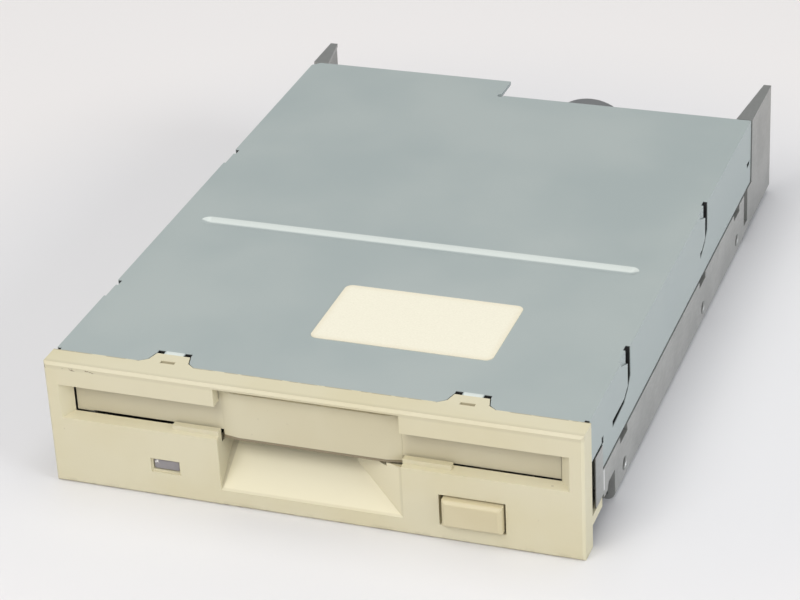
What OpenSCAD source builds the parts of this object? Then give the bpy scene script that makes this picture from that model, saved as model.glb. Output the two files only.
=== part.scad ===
// 3.5-inch floppy disk drive, 1 inch high, with a dust flap and an eject button.
// Lengths are millimetres. X runs to the right and Z up. Y runs back from the bezel's face in the
// sizes below, and the finished drive is centred on its own length.

/* [Disk and travel] */
// Width of the disk that the drive takes
disk_w = 90; // [88:0.5:92]
// Length of that disk
disk_l = 94; // [92:0.5:97]
// Thickness of that disk
disk_t = 3.3; // [3.1:0.1:3.6]
// Hub of the disk to its leading edge
disk_hub_to_edge = 46; // [45:0.5:47]
// How far the loaded disk lies behind the bezel's face
disk_inset = 5; // [4:0.5:7]
// Radius of the outermost track
track_zero_r = 39.5; // [38:0.1:40]
// Head travel from the outermost to the innermost track
seek_travel = 14.8; // [12:0.2:15.5]
// Fall of the loaded disk onto the spindle
drop = 3; // [2.6:0.1:3.4]
// Stroke of the slide plate and the eject button
stroke = 6; // [5:0.25:7]

/* [Bezel] */
// Depth of the bezel in front of the cover
bezel_depth = 4.9; // [4.5:0.1:6]
// Thickness of the bezel's face
face_t = 2.2; // [1.8:0.1:2.6]
// Thickness of the bezel's side walls
bezel_wall = 2; // [1.7:0.1:2.2]
// Thickness of the bezel's top wall
bezel_roof_t = 0.8; // [0.6:0.1:1]
// Thickness of the bezel's bottom wall
bezel_floor_t = 1.4; // [1:0.1:1.8]
// Bevel round the bezel's face
bezel_bevel = 0.5; // [0.2:0.1:0.8]
// Bezel edge beyond the cover's side
bezel_overhang = 0.4; // [0.2:0.1:0.8]
// Bezel face beside each end of the disk slot
slot_end_w = 2.6; // [2.2:0.1:3.2]
// Taper of each slot end through the face
slot_taper = 2; // [1.6:0.1:2.2]
// Bottom edge of the slot below the raised disk
slot_below_disk = 1.4; // [1.2:0.1:1.8]
// Rise of the slot's ledge through the face
ledge_rise = 0.6; // [0.3:0.1:0.8]
// Height of the slot at the sides
slot_h = 6.95; // [6.4:0.05:7.2]
// Half width of the tall middle of the slot
slot_mid_half = 17.5; // [15:0.5:20]
// Length of each raised lip on the ledge
lip_l = 9; // [7:0.5:11]
// Height of the lip above the slot's bottom edge
lip_h = 1.2; // [0.8:0.1:1.3]
// Bottom edge of the thumb recess
scoop_z = 3.4; // [2.6:0.1:4]
// Slope of the thumb recess in degrees
scoop_slope = 43; // [40:1:45]
// Depth of the thumb recess
scoop_depth = 8; // [7:0.2:8.4]
// Wall behind and beside the thumb recess
scoop_wall = 1.2; // [1:0.1:1.6]
// How far the slanted end of the thumb recess runs in
scoop_slant = 10.8; // [8:0.2:12]
// Depth at which that slant ends
scoop_slant_depth = 6.7; // [6:0.1:7]
// Left edge of the button's opening
button_x0 = 24.2; // [23:0.1:26]
// Bottom edge of the button's opening
button_z0 = 3.2; // [2.8:0.1:3.6]
// Width of the button's opening
button_open_w = 12.3; // [11:0.1:13]
// Height of the button's opening
button_open_h = 6.3; // [5.8:0.1:6.8]
// Gap round the button
button_gap = 0.35; // [0.3:0.05:0.5]
// Extra gap at the button's left end
button_slack = 0.4; // [0:0.1:0.6]
// Button's face in front of the bezel
button_proud = 1.5; // [1:0.1:2.5]
// Bevel round the button's face
button_bevel = 0.6; // [0.3:0.1:0.9]
// Middle of the LED window from the bezel's left edge
led_margin = 22.6; // [20.4:0.2:24.8]
// Middle height of the LED window
led_z = 6.6; // [6.5:0.1:6.8]
// Width of the LED lens
lens_w = 5; // [4.4:0.1:5.4]
// Height of the LED lens
lens_h = 2; // [1.6:0.1:2.2]
// Middle of each top clip from the drive's middle
clip_x = 28.4; // [26:0.2:32]
// Width of a clip at its root
clip_root_w = 10.5; // [9.5:0.1:12]
// Width of a clip at its tip
clip_tip_w = 6.5; // [6:0.1:7.5]
// Width of the hook under a clip
clip_hook_w = 3.6; // [3:0.1:4]
// Reach of a clip over the cover
clip_l = 3.3; // [2.8:0.1:4]
// Length of the side lugs
lug_l = 7; // [5:0.2:7.5]
// Bottom edge of the side lugs
lug_z = 4; // [4:0.1:6]
// Height of the side lugs
lug_h = 1.9; // [1.2:0.1:2.4]

/* [Dust flap] */
// Thickness of the flap
flap_t = 1.2; // [1:0.1:1.3]
// Gap between the bezel's face and the flap
flap_gap = 0.4; // [0.3:0.05:0.6]
// Raised middle of the flap in front of its wings
panel_proud = 0.6; // [0.4:0.05:0.7]
// Gap round the raised middle in the bezel's window
panel_gap = 0.35; // [0.3:0.05:0.5]
// Flap above its pivot
flap_head = 0.5; // [0.3:0.1:0.6]
// Radius of the flap's pivot pins
flap_pin_r = 0.75; // [0.6:0.05:0.8]
// Running clearance of pins in their bores
pin_fit = 0.05; // [0.03:0.01:0.08]

/* [Sheet metal] */
// Thickness of the top cover
cover_t = 0.8; // [0.6:0.1:1]
// Gap between the cover's sides and the chassis
cover_gap = 0.2; // [0.1:0.05:0.4]
// Rear edge of the cover behind the base plate, on the right
cover_overlap = 4; // [2.6:0.1:4.2]
// How much longer the cover is on the left
cover_step_l = 7.5; // [6:0.1:9.4]
// Step between the two lengths, left of the drive's middle
cover_step_x = 4.5; // [0:0.5:10]
// Bottom edge of the cover's sides
cover_side_z = 11.2; // [10.6:0.1:12.4]
// Place of the stiffening rib
rib_y = 59.6; // [52:0.2:66]
// Cover beside each end of the rib
rib_margin = 5.4; // [4:0.2:10]
// Width of the rib
rib_w = 4; // [3:0.2:5]
// Depth of the rib
rib_depth = 0.55; // [0.3:0.05:0.55]
// Width of the slits that free the cover's spring tabs
slit_w = 1.9; // [1.2:0.1:2]
// Thickness of the chassis side walls
wall_t = 1.2; // [1:0.1:1.5]
// Thickness of the chassis base plate
base_t = 1; // [0.8:0.1:1.2]
// Underside of the base plate
base_z = 4; // [3.8:0.1:4.4]
// Thickness of the outer rails
rail_t = 1.4; // [1.2:0.1:1.6]
// Rail face inside the bezel's edge
rail_inset = 0.2; // [0.1:0.1:0.3]
// Front end of the rails behind the bezel's side lugs
rail_front_gap = 1.1; // [0.8:0.1:2]
// Top edge of the rails below the cover's sides
rail_gap = 0.2; // [0.1:0.1:0.6]
// Width of the rails' bottom flange
rail_foot_w = 5; // [4:0.2:5.6]
// Length of the notch in a rail's top edge over each mounting hole
rail_notch_l = 5; // [4:0.2:6]
// Depth of those notches
rail_notch_h = 1.4; // [1:0.1:1.8]
// Thickness of the rails' bottom flange
rail_foot_t = 1; // [0.8:0.1:1.2]
// Outer radius of the bend between a rail and its foot
rail_bend_r = 1.6; // [1.2:0.1:1.6]
// Reach of the fins behind the signal connector
fin_reach = 11.1; // [10:0.1:14]
// Bottom edge of the fins
fin_z = 1.7; // [1.2:0.1:2.4]
// Front width of a fin's top flange
fin_flange_w = 3.4; // [2.6:0.1:4]
// Rear width of a fin's top flange
fin_flange_tip = 1.6; // [1.5:0.1:2]
// Radius of the side mounting holes, cut for M3
hole_r = 1.25; // [1.2:0.05:1.4]
// Length of the side mounting holes
hole_l = 4.4; // [4:0.1:4.6]
// Height of the side mounting holes
hole_z = 3.7; // [3.5:0.1:4]
// First side mounting hole behind the bezel's face
hole_y = 27.2; // [27:0.1:28]
// First hole to the second
hole_pitch = 60; // [59.5:0.5:60.5]
// First hole to the third
hole_pitch_rear = 90; // [89.5:0.5:90.5]

/* [Loading mechanism] */
// Play of the disk in its holder, each side
holder_play = 0.4; // [0.3:0.1:0.6]
// Sheet thickness of the holder
holder_t = 0.6; // [0.5:0.1:0.8]
// Clear height inside the holder
holder_gap = 4.2; // [4.1:0.1:4.6]
// Width of the holder's lower flanges
holder_flange_w = 8; // [6:0.5:10]
// Radius of the holder's pins
holder_pin_r = 1.1; // [0.9:0.05:1.3]
// Front holder pins behind the holder's front edge
holder_pin_front = 17; // [15:0.5:18]
// Rear holder pins ahead of the holder's rear edge
holder_pin_back = 14; // [13:0.5:16]
// Clearance round the pins in their slots
slot_fit = 0.3; // [0.25:0.05:0.4]
// Gap between holder and slide plate at the sides
slide_gap = 0.4; // [0.3:0.1:0.6]
// Sheet thickness of the slide plate
slide_t = 0.8; // [0.6:0.1:1]
// Gap between slide plate and chassis at the sides
guide_gap = 1; // [0.8:0.1:1.4]
// Gap between shutter lever and slide plate
slide_lift = 0.8; // [0.7:0.1:1]
// Room between slide plate and cover
headroom = 1.8; // [1.6:0.1:2.4]
// Springs' anchors behind the front holder pins
spring_anchor_gap = 27; // [25:0.5:29]
// Width of each spring's anchor
spring_anchor_w = 4; // [3:0.2:5]
// Radius of the slide springs
slide_spring_r = 0.7; // [0.5:0.05:0.75]
// Gap between holder and shutter lever
lever_lift = 0.3; // [0.2:0.1:0.4]
// Thickness of the shutter lever
lever_t = 0.8; // [0.6:0.1:1]
// Lever pivot inside the holder's left side
lever_inset = 9.4; // [8.4:0.2:10.4]
// Lever pivot ahead of the holder's rear edge
lever_back = 4; // [3.4:0.2:4.6]
// Reach of the lever from pivot to pin
lever_reach = 25; // [23:0.2:25.5]
// Swing of the lever in degrees
lever_swing = 32; // [26:1:34]

/* [Spindle motor] */
// Thickness of the motor board
motor_board_t = 1.2; // [1:0.1:1.6]
// Motor board beyond the rotor
motor_board_margin = 6; // [5.6:0.2:7]
// Gap between board and rotor
rotor_lift = 0.5; // [0.4:0.1:0.8]
// Height of the rotor
rotor_h = 3.5; // [3.3:0.1:4]
// Radius of the rotor
rotor_r = 27; // [25:0.25:27.5]
// Wall of the rotor's rim
rotor_rim_t = 1.2; // [0.8:0.1:1.6]
// Top of the rotor
rotor_top_t = 0.8; // [0.6:0.1:1]
// Radial thickness of the ring magnet
magnet_t = 2; // [1.5:0.1:2.5]
// Gap between magnet and stator
air_gap = 0.5; // [0.3:0.1:0.8]
// Stator teeth
stator_teeth = 12; // [9:3:12]
// Height of the hub above the rotor
hub_h = 2.3; // [2.1:0.1:2.6]
// Radius of the hub
hub_r = 12; // [10.5:0.5:13]
// Radius of the spindle shaft
shaft_r = 2; // [1.6:0.1:2.2]
// Shaft above the hub
shaft_nose = 1.4; // [1:0.1:1.6]
// Radius of the drive pin
drive_pin_r = 1.4; // [1:0.1:1.6]
// Hub rim outside the drive pin
drive_pin_inset = 1.6; // [1.2:0.1:2]

/* [Head positioner] */
// Radius of the guide rod
rod_r = 1.5; // [1.2:0.1:1.7]
// Guide rod left of the drive's middle
rod_x = 15; // [14.6:0.1:15.4]
// Guide rod above the base plate
rod_lift = 4; // [3.8:0.1:4.2]
// Free length at each end of the carriage's travel
rod_end_gap = 1.3; // [1:0.1:1.6]
// Radius of the lead screw over its thread
screw_r = 1.75; // [1.5:0.05:1.9]
// Lead of the screw for one turn
screw_lead = 3.75; // [3:0.25:4]
// Depth of the screw's groove
screw_groove = 0.4; // [0.2:0.05:0.5]
// Gap between signal connector and stepper motor
stepper_gap = 2.4; // [2.2:0.1:3.4]
// Underside of the stepper motor
stepper_z = 0.3; // [0.2:0.1:0.8]
// Radius of the stepper motor
stepper_r = 10.2; // [9:0.1:10.3]
// Length of the stepper motor
stepper_l = 19.5; // [14:0.25:20]
// Width of a head's slider
head_w = 5; // [4:0.2:6]
// Length of a head's slider
head_l = 8; // [6:0.2:9]
// Thickness of the upper arm
arm_t = 1.3; // [1:0.1:1.4]
// Half width of the upper arm at its root
arm_half = 7.5; // [6:0.5:8]
// Room above the tip of the raised upper arm
arm_headroom = 0.45; // [0.35:0.05:0.8]

/* [Electronics] */
// Thickness of the main board
board_t = 1.2; // [1:0.1:1.4]
// Gap between main board and base plate
board_gap = 0.6; // [0.4:0.1:0.8]
// Front edge of the main board behind the spindle
board_offset = 7; // [5:0.5:9]
// Main board's edges inside the side mounting holes
board_side_gap = 1.7; // [1.2:0.1:2.4]
// Pin pitch of the signal connector
pin_pitch = 2.54; // [2:0.02:2.54]
// Pins in each row of the signal connector
pin_columns = 17; // [13:1:17]
// Side of a connector pin
pin_side = 0.64; // [0.5:0.02:0.7]
// Free length of a signal pin
pin_l = 8.7; // [7:0.1:9.4]
// Height of the signal connector
header_h = 6; // [5.4:0.1:6.6]
// Least gap between signal connector and chassis side
header_side_gap = 3.8; // [3.2:0.1:4.4]
// Side of the control chip
chip_side = 14; // [10:0.5:16]
// Thickness of the chips
chip_t = 1.5; // [1.2:0.1:1.5]
// Radius of the capacitors
cap_r = 2.2; // [1.8:0.1:2.3]
// Height of the capacitors
cap_h = 5.4; // [4:0.2:6]
// Pin pitch of the power connector
power_pitch = 2.5; // [2:0.1:2.54]
// Thickness of the paper label
label_t = 0.1; // [0.08:0.01:0.15]
// Width of the paper label
label_w = 35; // [25:0.5:45]
// Length of the paper label
label_l = 20.6; // [14:0.2:30]
// Radius of the plunger of a switch
plunger_r = 0.95; // [0.8:0.05:1.1]
// Travel of a switch's plunger
plunger_travel = 1.2; // [0.8:0.1:1.4]

/* [Hidden] */
$fn = 48;

// Overlap that fuses shapes of one piece
weld = 0.2;
// Overshoot of a cut past the face that it opens
past = 1;
// Fit of pieces that are pressed or glued together
seat_fit = 0.02;

// Half widths, from the disk outwards
holder_in = disk_w / 2 + holder_play;
holder_out = holder_in + holder_t;
slide_in = holder_out + slide_gap;
slide_out = slide_in + slide_t;
wall_in = slide_out + guide_gap;
wall_out = wall_in + wall_t;
cover_in = wall_out + cover_gap;
cover_half = cover_in + cover_t;
bezel_half = cover_half + bezel_overhang;
rail_out = bezel_half - rail_inset;
slot_half = bezel_half - slot_end_w;
led_x = bezel_half - led_margin;
board_half = rail_out - hole_l - board_side_gap;

// Heights, from the base plate up
base_top = base_z + base_t;
motor_board_top = base_top + motor_board_t;
rotor_z = motor_board_top + rotor_lift;
rotor_top = rotor_z + rotor_h;
hub_top = rotor_top + hub_h;
disk_low_z = hub_top - 0.1;
disk_up_z = disk_low_z + drop;
media_z = disk_low_z + disk_t / 2;
holder_floor = disk_up_z - 0.1;
holder_roof = holder_floor + holder_gap;
holder_top = holder_roof + holder_t;
lever_z = holder_top + lever_lift;
lever_top = lever_z + lever_t;
slide_z = lever_top + slide_lift;
slide_top = slide_z + slide_t;
cover_under = slide_top + headroom;
drive_h = cover_under + cover_t;
board_top = base_z - board_gap;
board_z = board_top - board_t;

// Places along the drive
spindle_y = disk_inset + disk_l - disk_hub_to_edge;
disk_lead_y = disk_inset + disk_l;
head_y = spindle_y + track_zero_r;
rail_y = bezel_depth + lug_l + rail_front_gap;
rail_rear = hole_y + hole_pitch_rear + 6.3;
rail_cut_y = hole_y - 6.8;
tab_gap = 3.1;
tab_y = bezel_depth + tab_gap;
tab_z = lug_z + lug_h + 0.15;
tab_top = cover_side_z + 5.1;
cover_cut_y = rail_y - 0.1;
cover_cut_z = tab_top + 0.3;
slits_y = [hole_y + 5, hole_y + hole_pitch + 4];

// Disk slot and dust flap
slot_z = disk_up_z - slot_below_disk;
slot_top = slot_z + slot_h;
ledge_z = slot_z + ledge_rise;
bezel_roof = drive_h - bezel_roof_t;
flap_y = face_t + flap_gap;
flap_pivot_y = flap_y + flap_t / 2;
flap_swing_r = sqrt(flap_head * flap_head + flap_t * flap_t / 4);
flap_pivot_z = bezel_roof - flap_swing_r - 0.2;
flap_half = slot_half - slot_taper - 0.15;
flap_side_z = ledge_z + 0.2;
flap_foot_l = 3.2;
panel_half = slot_mid_half - panel_gap;
panel_low = slot_z - 0.55;
panel_high = bezel_roof - 1.6;
ear_in = flap_half + 0.5;
ear_out = ear_in + 1.2;
pivot_bore_r = flap_pin_r + pin_fit;
spring_pin_r = flap_pin_r - 0.25;

// Thumb recess
scoop_rise = scoop_depth * tan(scoop_slope);
pocket_top = scoop_z + scoop_rise + 1.5;
pocket_back = scoop_depth + scoop_wall;
flap_reach = flap_pivot_y + flap_pivot_z - pocket_top + 0.2;

// Loading mechanism
holder_front = flap_reach + 1.6;
holder_rear = disk_lead_y - 2;
slide_front = flap_reach + stroke + 0.6;
slide_rear = holder_rear + 1;
pins_y = [holder_front + holder_pin_front, holder_rear - holder_pin_back];
holder_pin_z = (holder_floor + holder_roof) / 2;
holder_pin_end = wall_out - 0.5;
pin_slot_r = holder_pin_r + slot_fit;
slide_skirt_z = holder_pin_z - drop - pin_slot_r - 1.2;
slide_tabs_y = [pins_y[0] + 7, pins_y[1] - 13];
slide_tab_l = 6;
boss_r = hole_r + 1.25;
leg_rear = slide_front + 2.2;
leg_l = 4.6;
leg_z = hole_z + boss_r + 0.3;
link_h = 2.6;
spring_hook_y = pins_y[0] + spring_anchor_gap;
spring_x = slide_in - 6.4;
spring_z = (slide_top + cover_under) / 2;
spring_end_y = slide_rear - 2;
arm_room = arm_half + 2;
arm_room_y = head_y - seek_travel - head_l / 2 - 5;
lever_x = holder_in - lever_inset;
lever_y = holder_rear - lever_back;
lever_rest = -lever_swing / 2;

// Eject button and LED
button_x1 = button_x0 + button_open_w - button_gap;
button_left = button_x0 + button_gap + button_slack;
button_low = button_z0 + button_gap;
button_high = button_z0 + button_open_h - button_gap;
button_rear = face_t + 1.8;
stem_x0 = button_left + 2;
stem_x1 = stem_x0 + 5;
led_y = bezel_depth + 0.1;
led_rear = led_y + 4.8;

// Spindle motor
magnet_out = rotor_r - rotor_rim_t;
magnet_in = magnet_out - magnet_t;
stator_r = magnet_in - air_gap;
stator_z = rotor_z + 0.2;
stator_h = 1.6;
tooth_w = 2.4;
bearing_r = 5;
core_r = 9;
coil_in = core_r + 2;
coil_out = stator_r - 3.2;
motor_board_r = rotor_r + motor_board_margin;
motor_screw_at = motor_board_r - 2.4;
drive_pin_at = hub_r - drive_pin_r - drive_pin_inset;

// Head positioner
rod_z = base_top + rod_lift;
post_half = 4.5;
post_t = 3;
front_post_y = spindle_y + sqrt(pow(rotor_r + 1, 2) - pow(rod_x - post_half, 2));
tower_y = disk_lead_y + seek_travel + 0.7;
tower_l = 7.3;
tower_half = rod_x - post_half - 1.5;
motor_wall_y = tower_y + tower_l + 1;
motor_wall_t = 1.1;
rear_post_y = motor_wall_y - 0.4 - post_t;
carriage_y = front_post_y + post_t + seek_travel + rod_end_gap;
carriage_rear = rear_post_y - rod_end_gap;
carriage_top = disk_low_z - 0.8;
tongue_low = rotor_top + 0.5;
tongue_high = disk_low_z - 0.4;
sleeve_half = 3.5;
tongue_w = head_w + 4;
header_w = pin_columns * pin_pitch + 0.6;
header_x1 = max(-0.6, header_w + header_side_gap - wall_in);
screw_x = header_x1 + stepper_gap + stepper_r;
screw_z = stepper_z + stepper_r;
bridge_x1 = screw_x - screw_r - 1.25;
needle_y = carriage_y + 10;
arm_pivot_y = tower_y + tower_l - 1.8;
arm_low = disk_low_z + disk_t + 0.2;
arm_pivot_z = arm_low + arm_t / 2;
arm_front = head_y - head_l / 2 - 2;
arm_tilt = asin((cover_under - arm_headroom - arm_low - arm_t) / (arm_pivot_y - arm_front));
tower_top = arm_low - 0.6;
bracket_t = 2;
bracket_y = needle_y - seek_travel - bracket_t - 3.2;
journal_r = 1;
stepper_y = motor_wall_y + motor_wall_t;
stepper_rear = stepper_y + stepper_l;
pilot_r = 3.3;
ear_at = stepper_r + 2.5;
base_rear = stepper_y + 2.1;
cover_len_right = base_rear + cover_overlap;
cover_len_left = cover_len_right + cover_step_l;

// Track sensor and its flag on the carriage
flag_y = carriage_y + 2;
flag_l = 3.5;
flag_z = rod_z + 1.4;
sensor_x0 = rod_x + 9;
sensor_gap = 3;
sensor_wall = 2;
sensor_top = flag_z - 0.4;

// Boards and connectors
header_l = 6.5;
header_front = base_rear + 5;
header_rear = header_front + header_l;
drive_depth = header_rear + fin_reach;
y_mid = (drive_depth - button_proud) / 2;
board_y = spindle_y + board_offset;
board_rear = header_rear + 1;
power_x = screw_x + stepper_r + 4.4;
power_w = 4 * power_pitch + 1.8;
power_h = 6.4;
power_wall = 1;
board_screw_x = board_half - 4.5;
board_screws = [for (x = [-board_screw_x, board_screw_x], y = [board_y + 6, base_rear - 7]) [x, y]];

// Switches along the front of the base plate
switch_x = holder_in - 4.4;
switch_y = bezel_depth + 6.1;
switch_w = 4;
switch_pitch = 5.5;
switch_top = disk_low_z - 1;
plunger_top = disk_low_z + plunger_travel;
plunger_low = switch_top - 2.4;

module placed() {
    translate([0, -y_mid, 0]) children();
}

module both_sides() {
    children();
    mirror([1, 0, 0]) children();
}

// Box from its lowest corner to its highest
module box(low, high) {
    translate(low) cube(high - low);
}

// Outline in Y and Z drawn out along X
module side_outline(points, x0, x1) {
    translate([x0, 0, 0]) rotate([90, 0, 90]) linear_extrude(x1 - x0) polygon(points);
}

// Outline in X and Y drawn up along Z
module plan_outline(points, z0, z1) {
    translate([0, 0, z0]) linear_extrude(z1 - z0) polygon(points);
}

module rod_x_axis(x0, x1, y, z, r) {
    translate([x0, y, z]) rotate([0, 90, 0]) cylinder(r = r, h = x1 - x0);
}

module rod_y_axis(y0, y1, x, z, r) {
    translate([x, y0, z]) rotate([-90, 0, 0]) cylinder(r = r, h = y1 - y0);
}

module rod_z_axis(z0, z1, x, y, r) {
    translate([x, y, z0]) cylinder(r = r, h = z1 - z0);
}

// Block whose front edges are bevelled
module bevelled_block(low, high, bevel) {
    intersection() {
        side_outline([
            [low[1] + bevel, low[2]], [high[1], low[2]], [high[1], high[2]],
            [low[1] + bevel, high[2]], [low[1], high[2] - bevel], [low[1], low[2] + bevel]
        ], low[0], high[0]);
        plan_outline([
            [low[0], low[1] + bevel], [low[0] + bevel, low[1]], [high[0] - bevel, low[1]],
            [high[0], low[1] + bevel], [high[0], high[1]], [low[0], high[1]]
        ], low[2], high[2]);
    }
}

// Outline of a top clip, grown all round for the cut-out that takes it
function clip_outline(grow) = [
    [clip_x - clip_root_w / 2 - grow, bezel_depth - weld],
    [clip_x - clip_root_w / 2 - grow, bezel_depth],
    [clip_x - clip_tip_w / 2 - 0.6 - grow, bezel_depth + 1 + grow],
    [clip_x - clip_tip_w / 2 - grow, bezel_depth + clip_l + grow],
    [clip_x + clip_tip_w / 2 + grow, bezel_depth + clip_l + grow],
    [clip_x + clip_tip_w / 2 + 0.6 + grow, bezel_depth + 1 + grow],
    [clip_x + clip_root_w / 2 + grow, bezel_depth],
    [clip_x + clip_root_w / 2 + grow, bezel_depth - weld]
];

module disk_slot_cut() {
    intersection() {
        side_outline([
            [-past, slot_z], [0, slot_z], [face_t, ledge_z], [bezel_depth + past, ledge_z],
            [bezel_depth + past, slot_top], [-past, slot_top]
        ], -bezel_half, bezel_half);
        plan_outline([
            [-slot_half, -past], [slot_half, -past], [slot_half, 0], [slot_half - slot_taper, face_t],
            [slot_half - slot_taper, bezel_depth + past], [slot_taper - slot_half, bezel_depth + past],
            [slot_taper - slot_half, face_t], [-slot_half, 0]
        ], slot_z - past, slot_top + past);
    }
    side_outline([
        [-past, slot_z], [0, slot_z], [face_t, panel_low - 0.3], [face_t + past, panel_low - 0.3],
        [face_t + past, bezel_roof - 0.1], [-past, bezel_roof - 0.1]
    ], -slot_mid_half, slot_mid_half);
}

module thumb_recess_cut() {
    intersection() {
        side_outline([
            [-past, scoop_z], [0, scoop_z], [scoop_depth, scoop_z + scoop_rise],
            [scoop_depth, slot_z + weld], [-past, slot_z + weld]
        ], -bezel_half, bezel_half);
        plan_outline([
            [-slot_mid_half, -past], [slot_mid_half, -past], [slot_mid_half, 0],
            [slot_mid_half - scoop_slant, scoop_slant_depth], [slot_mid_half - scoop_slant, pocket_back],
            [-slot_mid_half, pocket_back]
        ], 0, drive_h);
    }
}

module led_window_cut() {
    frame_w = lens_w + 0.8;
    frame_h = lens_h + 0.9;
    box([-led_x - frame_w / 2, -past, led_z - frame_h / 2],
        [-led_x + frame_w / 2, 0.4, led_z + frame_h / 2]);
    box([-led_x - lens_w / 2 - 0.1, -past, led_z - lens_h / 2 - 0.1],
        [-led_x + lens_w / 2 + 0.1, face_t + past, led_z + lens_h / 2 + 0.1]);
}

module bezel() color([0.835, 0.804, 0.686]) placed() {
    pocket_half = slot_mid_half + scoop_wall;
    difference() {
        union() {
            difference() {
                bevelled_block([-bezel_half, 0, 0], [bezel_half, bezel_depth, drive_h], bezel_bevel);
                box([bezel_wall - bezel_half, face_t, bezel_floor_t],
                    [bezel_half - bezel_wall, bezel_depth + past, bezel_roof]);
            }
            box([-pocket_half, face_t - weld, bezel_floor_t - weld],
                [pocket_half, pocket_back, pocket_top]);
            both_sides() {
                box([ear_in, face_t - weld, slot_top + 0.2], [ear_out, bezel_depth, bezel_roof + weld]);
                box([wall_out + 0.1, bezel_depth - weld, lug_z],
                    [rail_out, bezel_depth + lug_l, lug_z + lug_h]);
                plan_outline(clip_outline(0), cover_under, drive_h);
                box([clip_x - clip_hook_w / 2, bezel_depth - weld, cover_under - 0.5],
                    [clip_x + clip_hook_w / 2, bezel_depth + clip_l + 2, cover_under]);
                box([clip_x - clip_tip_w / 2 + 0.3, bezel_depth - weld, cover_under - 0.5],
                    [clip_x + clip_tip_w / 2 - 0.3, bezel_depth + clip_l - 0.4, drive_h - 0.4]);
            }
        }
        disk_slot_cut();
        thumb_recess_cut();
        led_window_cut();
        box([button_x0, -past, button_z0],
            [button_x0 + button_open_w, face_t + past, button_z0 + button_open_h]);
        rod_x_axis(-ear_out - past, ear_out + past, flap_pivot_y, flap_pivot_z, pivot_bore_r);
        both_sides() box([clip_x - 1.4, bezel_depth + 0.1, drive_h - 0.5],
            [clip_x + 1.4, bezel_depth + 1, drive_h + past]);
    }
    both_sides()
        box([slot_mid_half, 0.9, slot_z - weld], [slot_mid_half + lip_l, face_t, slot_z + lip_h]);
}

module dust_flap() color([0.78, 0.745, 0.63]) placed() {
    box([-flap_half, flap_y, flap_side_z], [flap_half, flap_y + flap_t, flap_pivot_z + flap_head]);
    box([-panel_half, flap_y - panel_proud, panel_low], [panel_half, flap_y + flap_t, panel_high]);
    both_sides() {
        box([flap_half - flap_foot_l, flap_y, ledge_z + 0.1],
            [flap_half, flap_y + flap_t, flap_side_z + weld]);
        rod_x_axis(flap_half - weld, ear_out, flap_pivot_y, flap_pivot_z, flap_pin_r);
    }
    box([slot_mid_half, flap_y, ledge_z + 0.1],
        [flap_half - flap_foot_l + weld, flap_y + flap_t, flap_side_z + weld]);
    rod_x_axis(-ear_out - 1, -ear_out + weld, flap_pivot_y, flap_pivot_z, spring_pin_r);
}

module flap_spring() color([0.72, 0.73, 0.74]) placed() {
    coil_in = spring_pin_r + 0.1;
    difference() {
        rod_x_axis(-ear_out - 0.9, -ear_out - 0.1, flap_pivot_y, flap_pivot_z, coil_in + 0.35);
        rod_x_axis(-ear_out - past - 1, -ear_out + past, flap_pivot_y, flap_pivot_z, coil_in);
    }
}

module eject_button() color([0.85, 0.815, 0.69]) placed() {
    bevelled_block([button_left, -button_proud, button_low], [button_x1, button_rear, button_high],
        button_bevel);
    box([stem_x0, button_rear - weld, leg_z], [stem_x1, leg_rear - slide_t, leg_z + link_h - 0.4]);
}

module led_lens() color([0.66, 0.65, 0.69, 0.7]) placed() {
    box([-led_x - lens_w / 2, 0.6, led_z - lens_h / 2],
        [-led_x + lens_w / 2, bezel_depth - 0.1, led_z + lens_h / 2]);
    box([-led_x - lens_w / 2 - 0.9, face_t, led_z - lens_h / 2 - 0.6],
        [-led_x + lens_w / 2 + 0.9, face_t + 0.8, led_z + lens_h / 2 + 0.6]);
}

module led() color([0.85, 0.9, 0.82]) placed() {
    leg = 0.5;
    box([-led_x - lens_w / 2, led_y, base_top + 0.4], [-led_x + lens_w / 2, led_rear, led_z + 1.2]);
    for (side = [-1, 1])
        box([-led_x + side * 1.27 - leg / 2, led_rear - weld, motor_board_top],
            [-led_x + side * 1.27 + leg / 2, led_rear + 3.2, motor_board_top + leg]);
}

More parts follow.
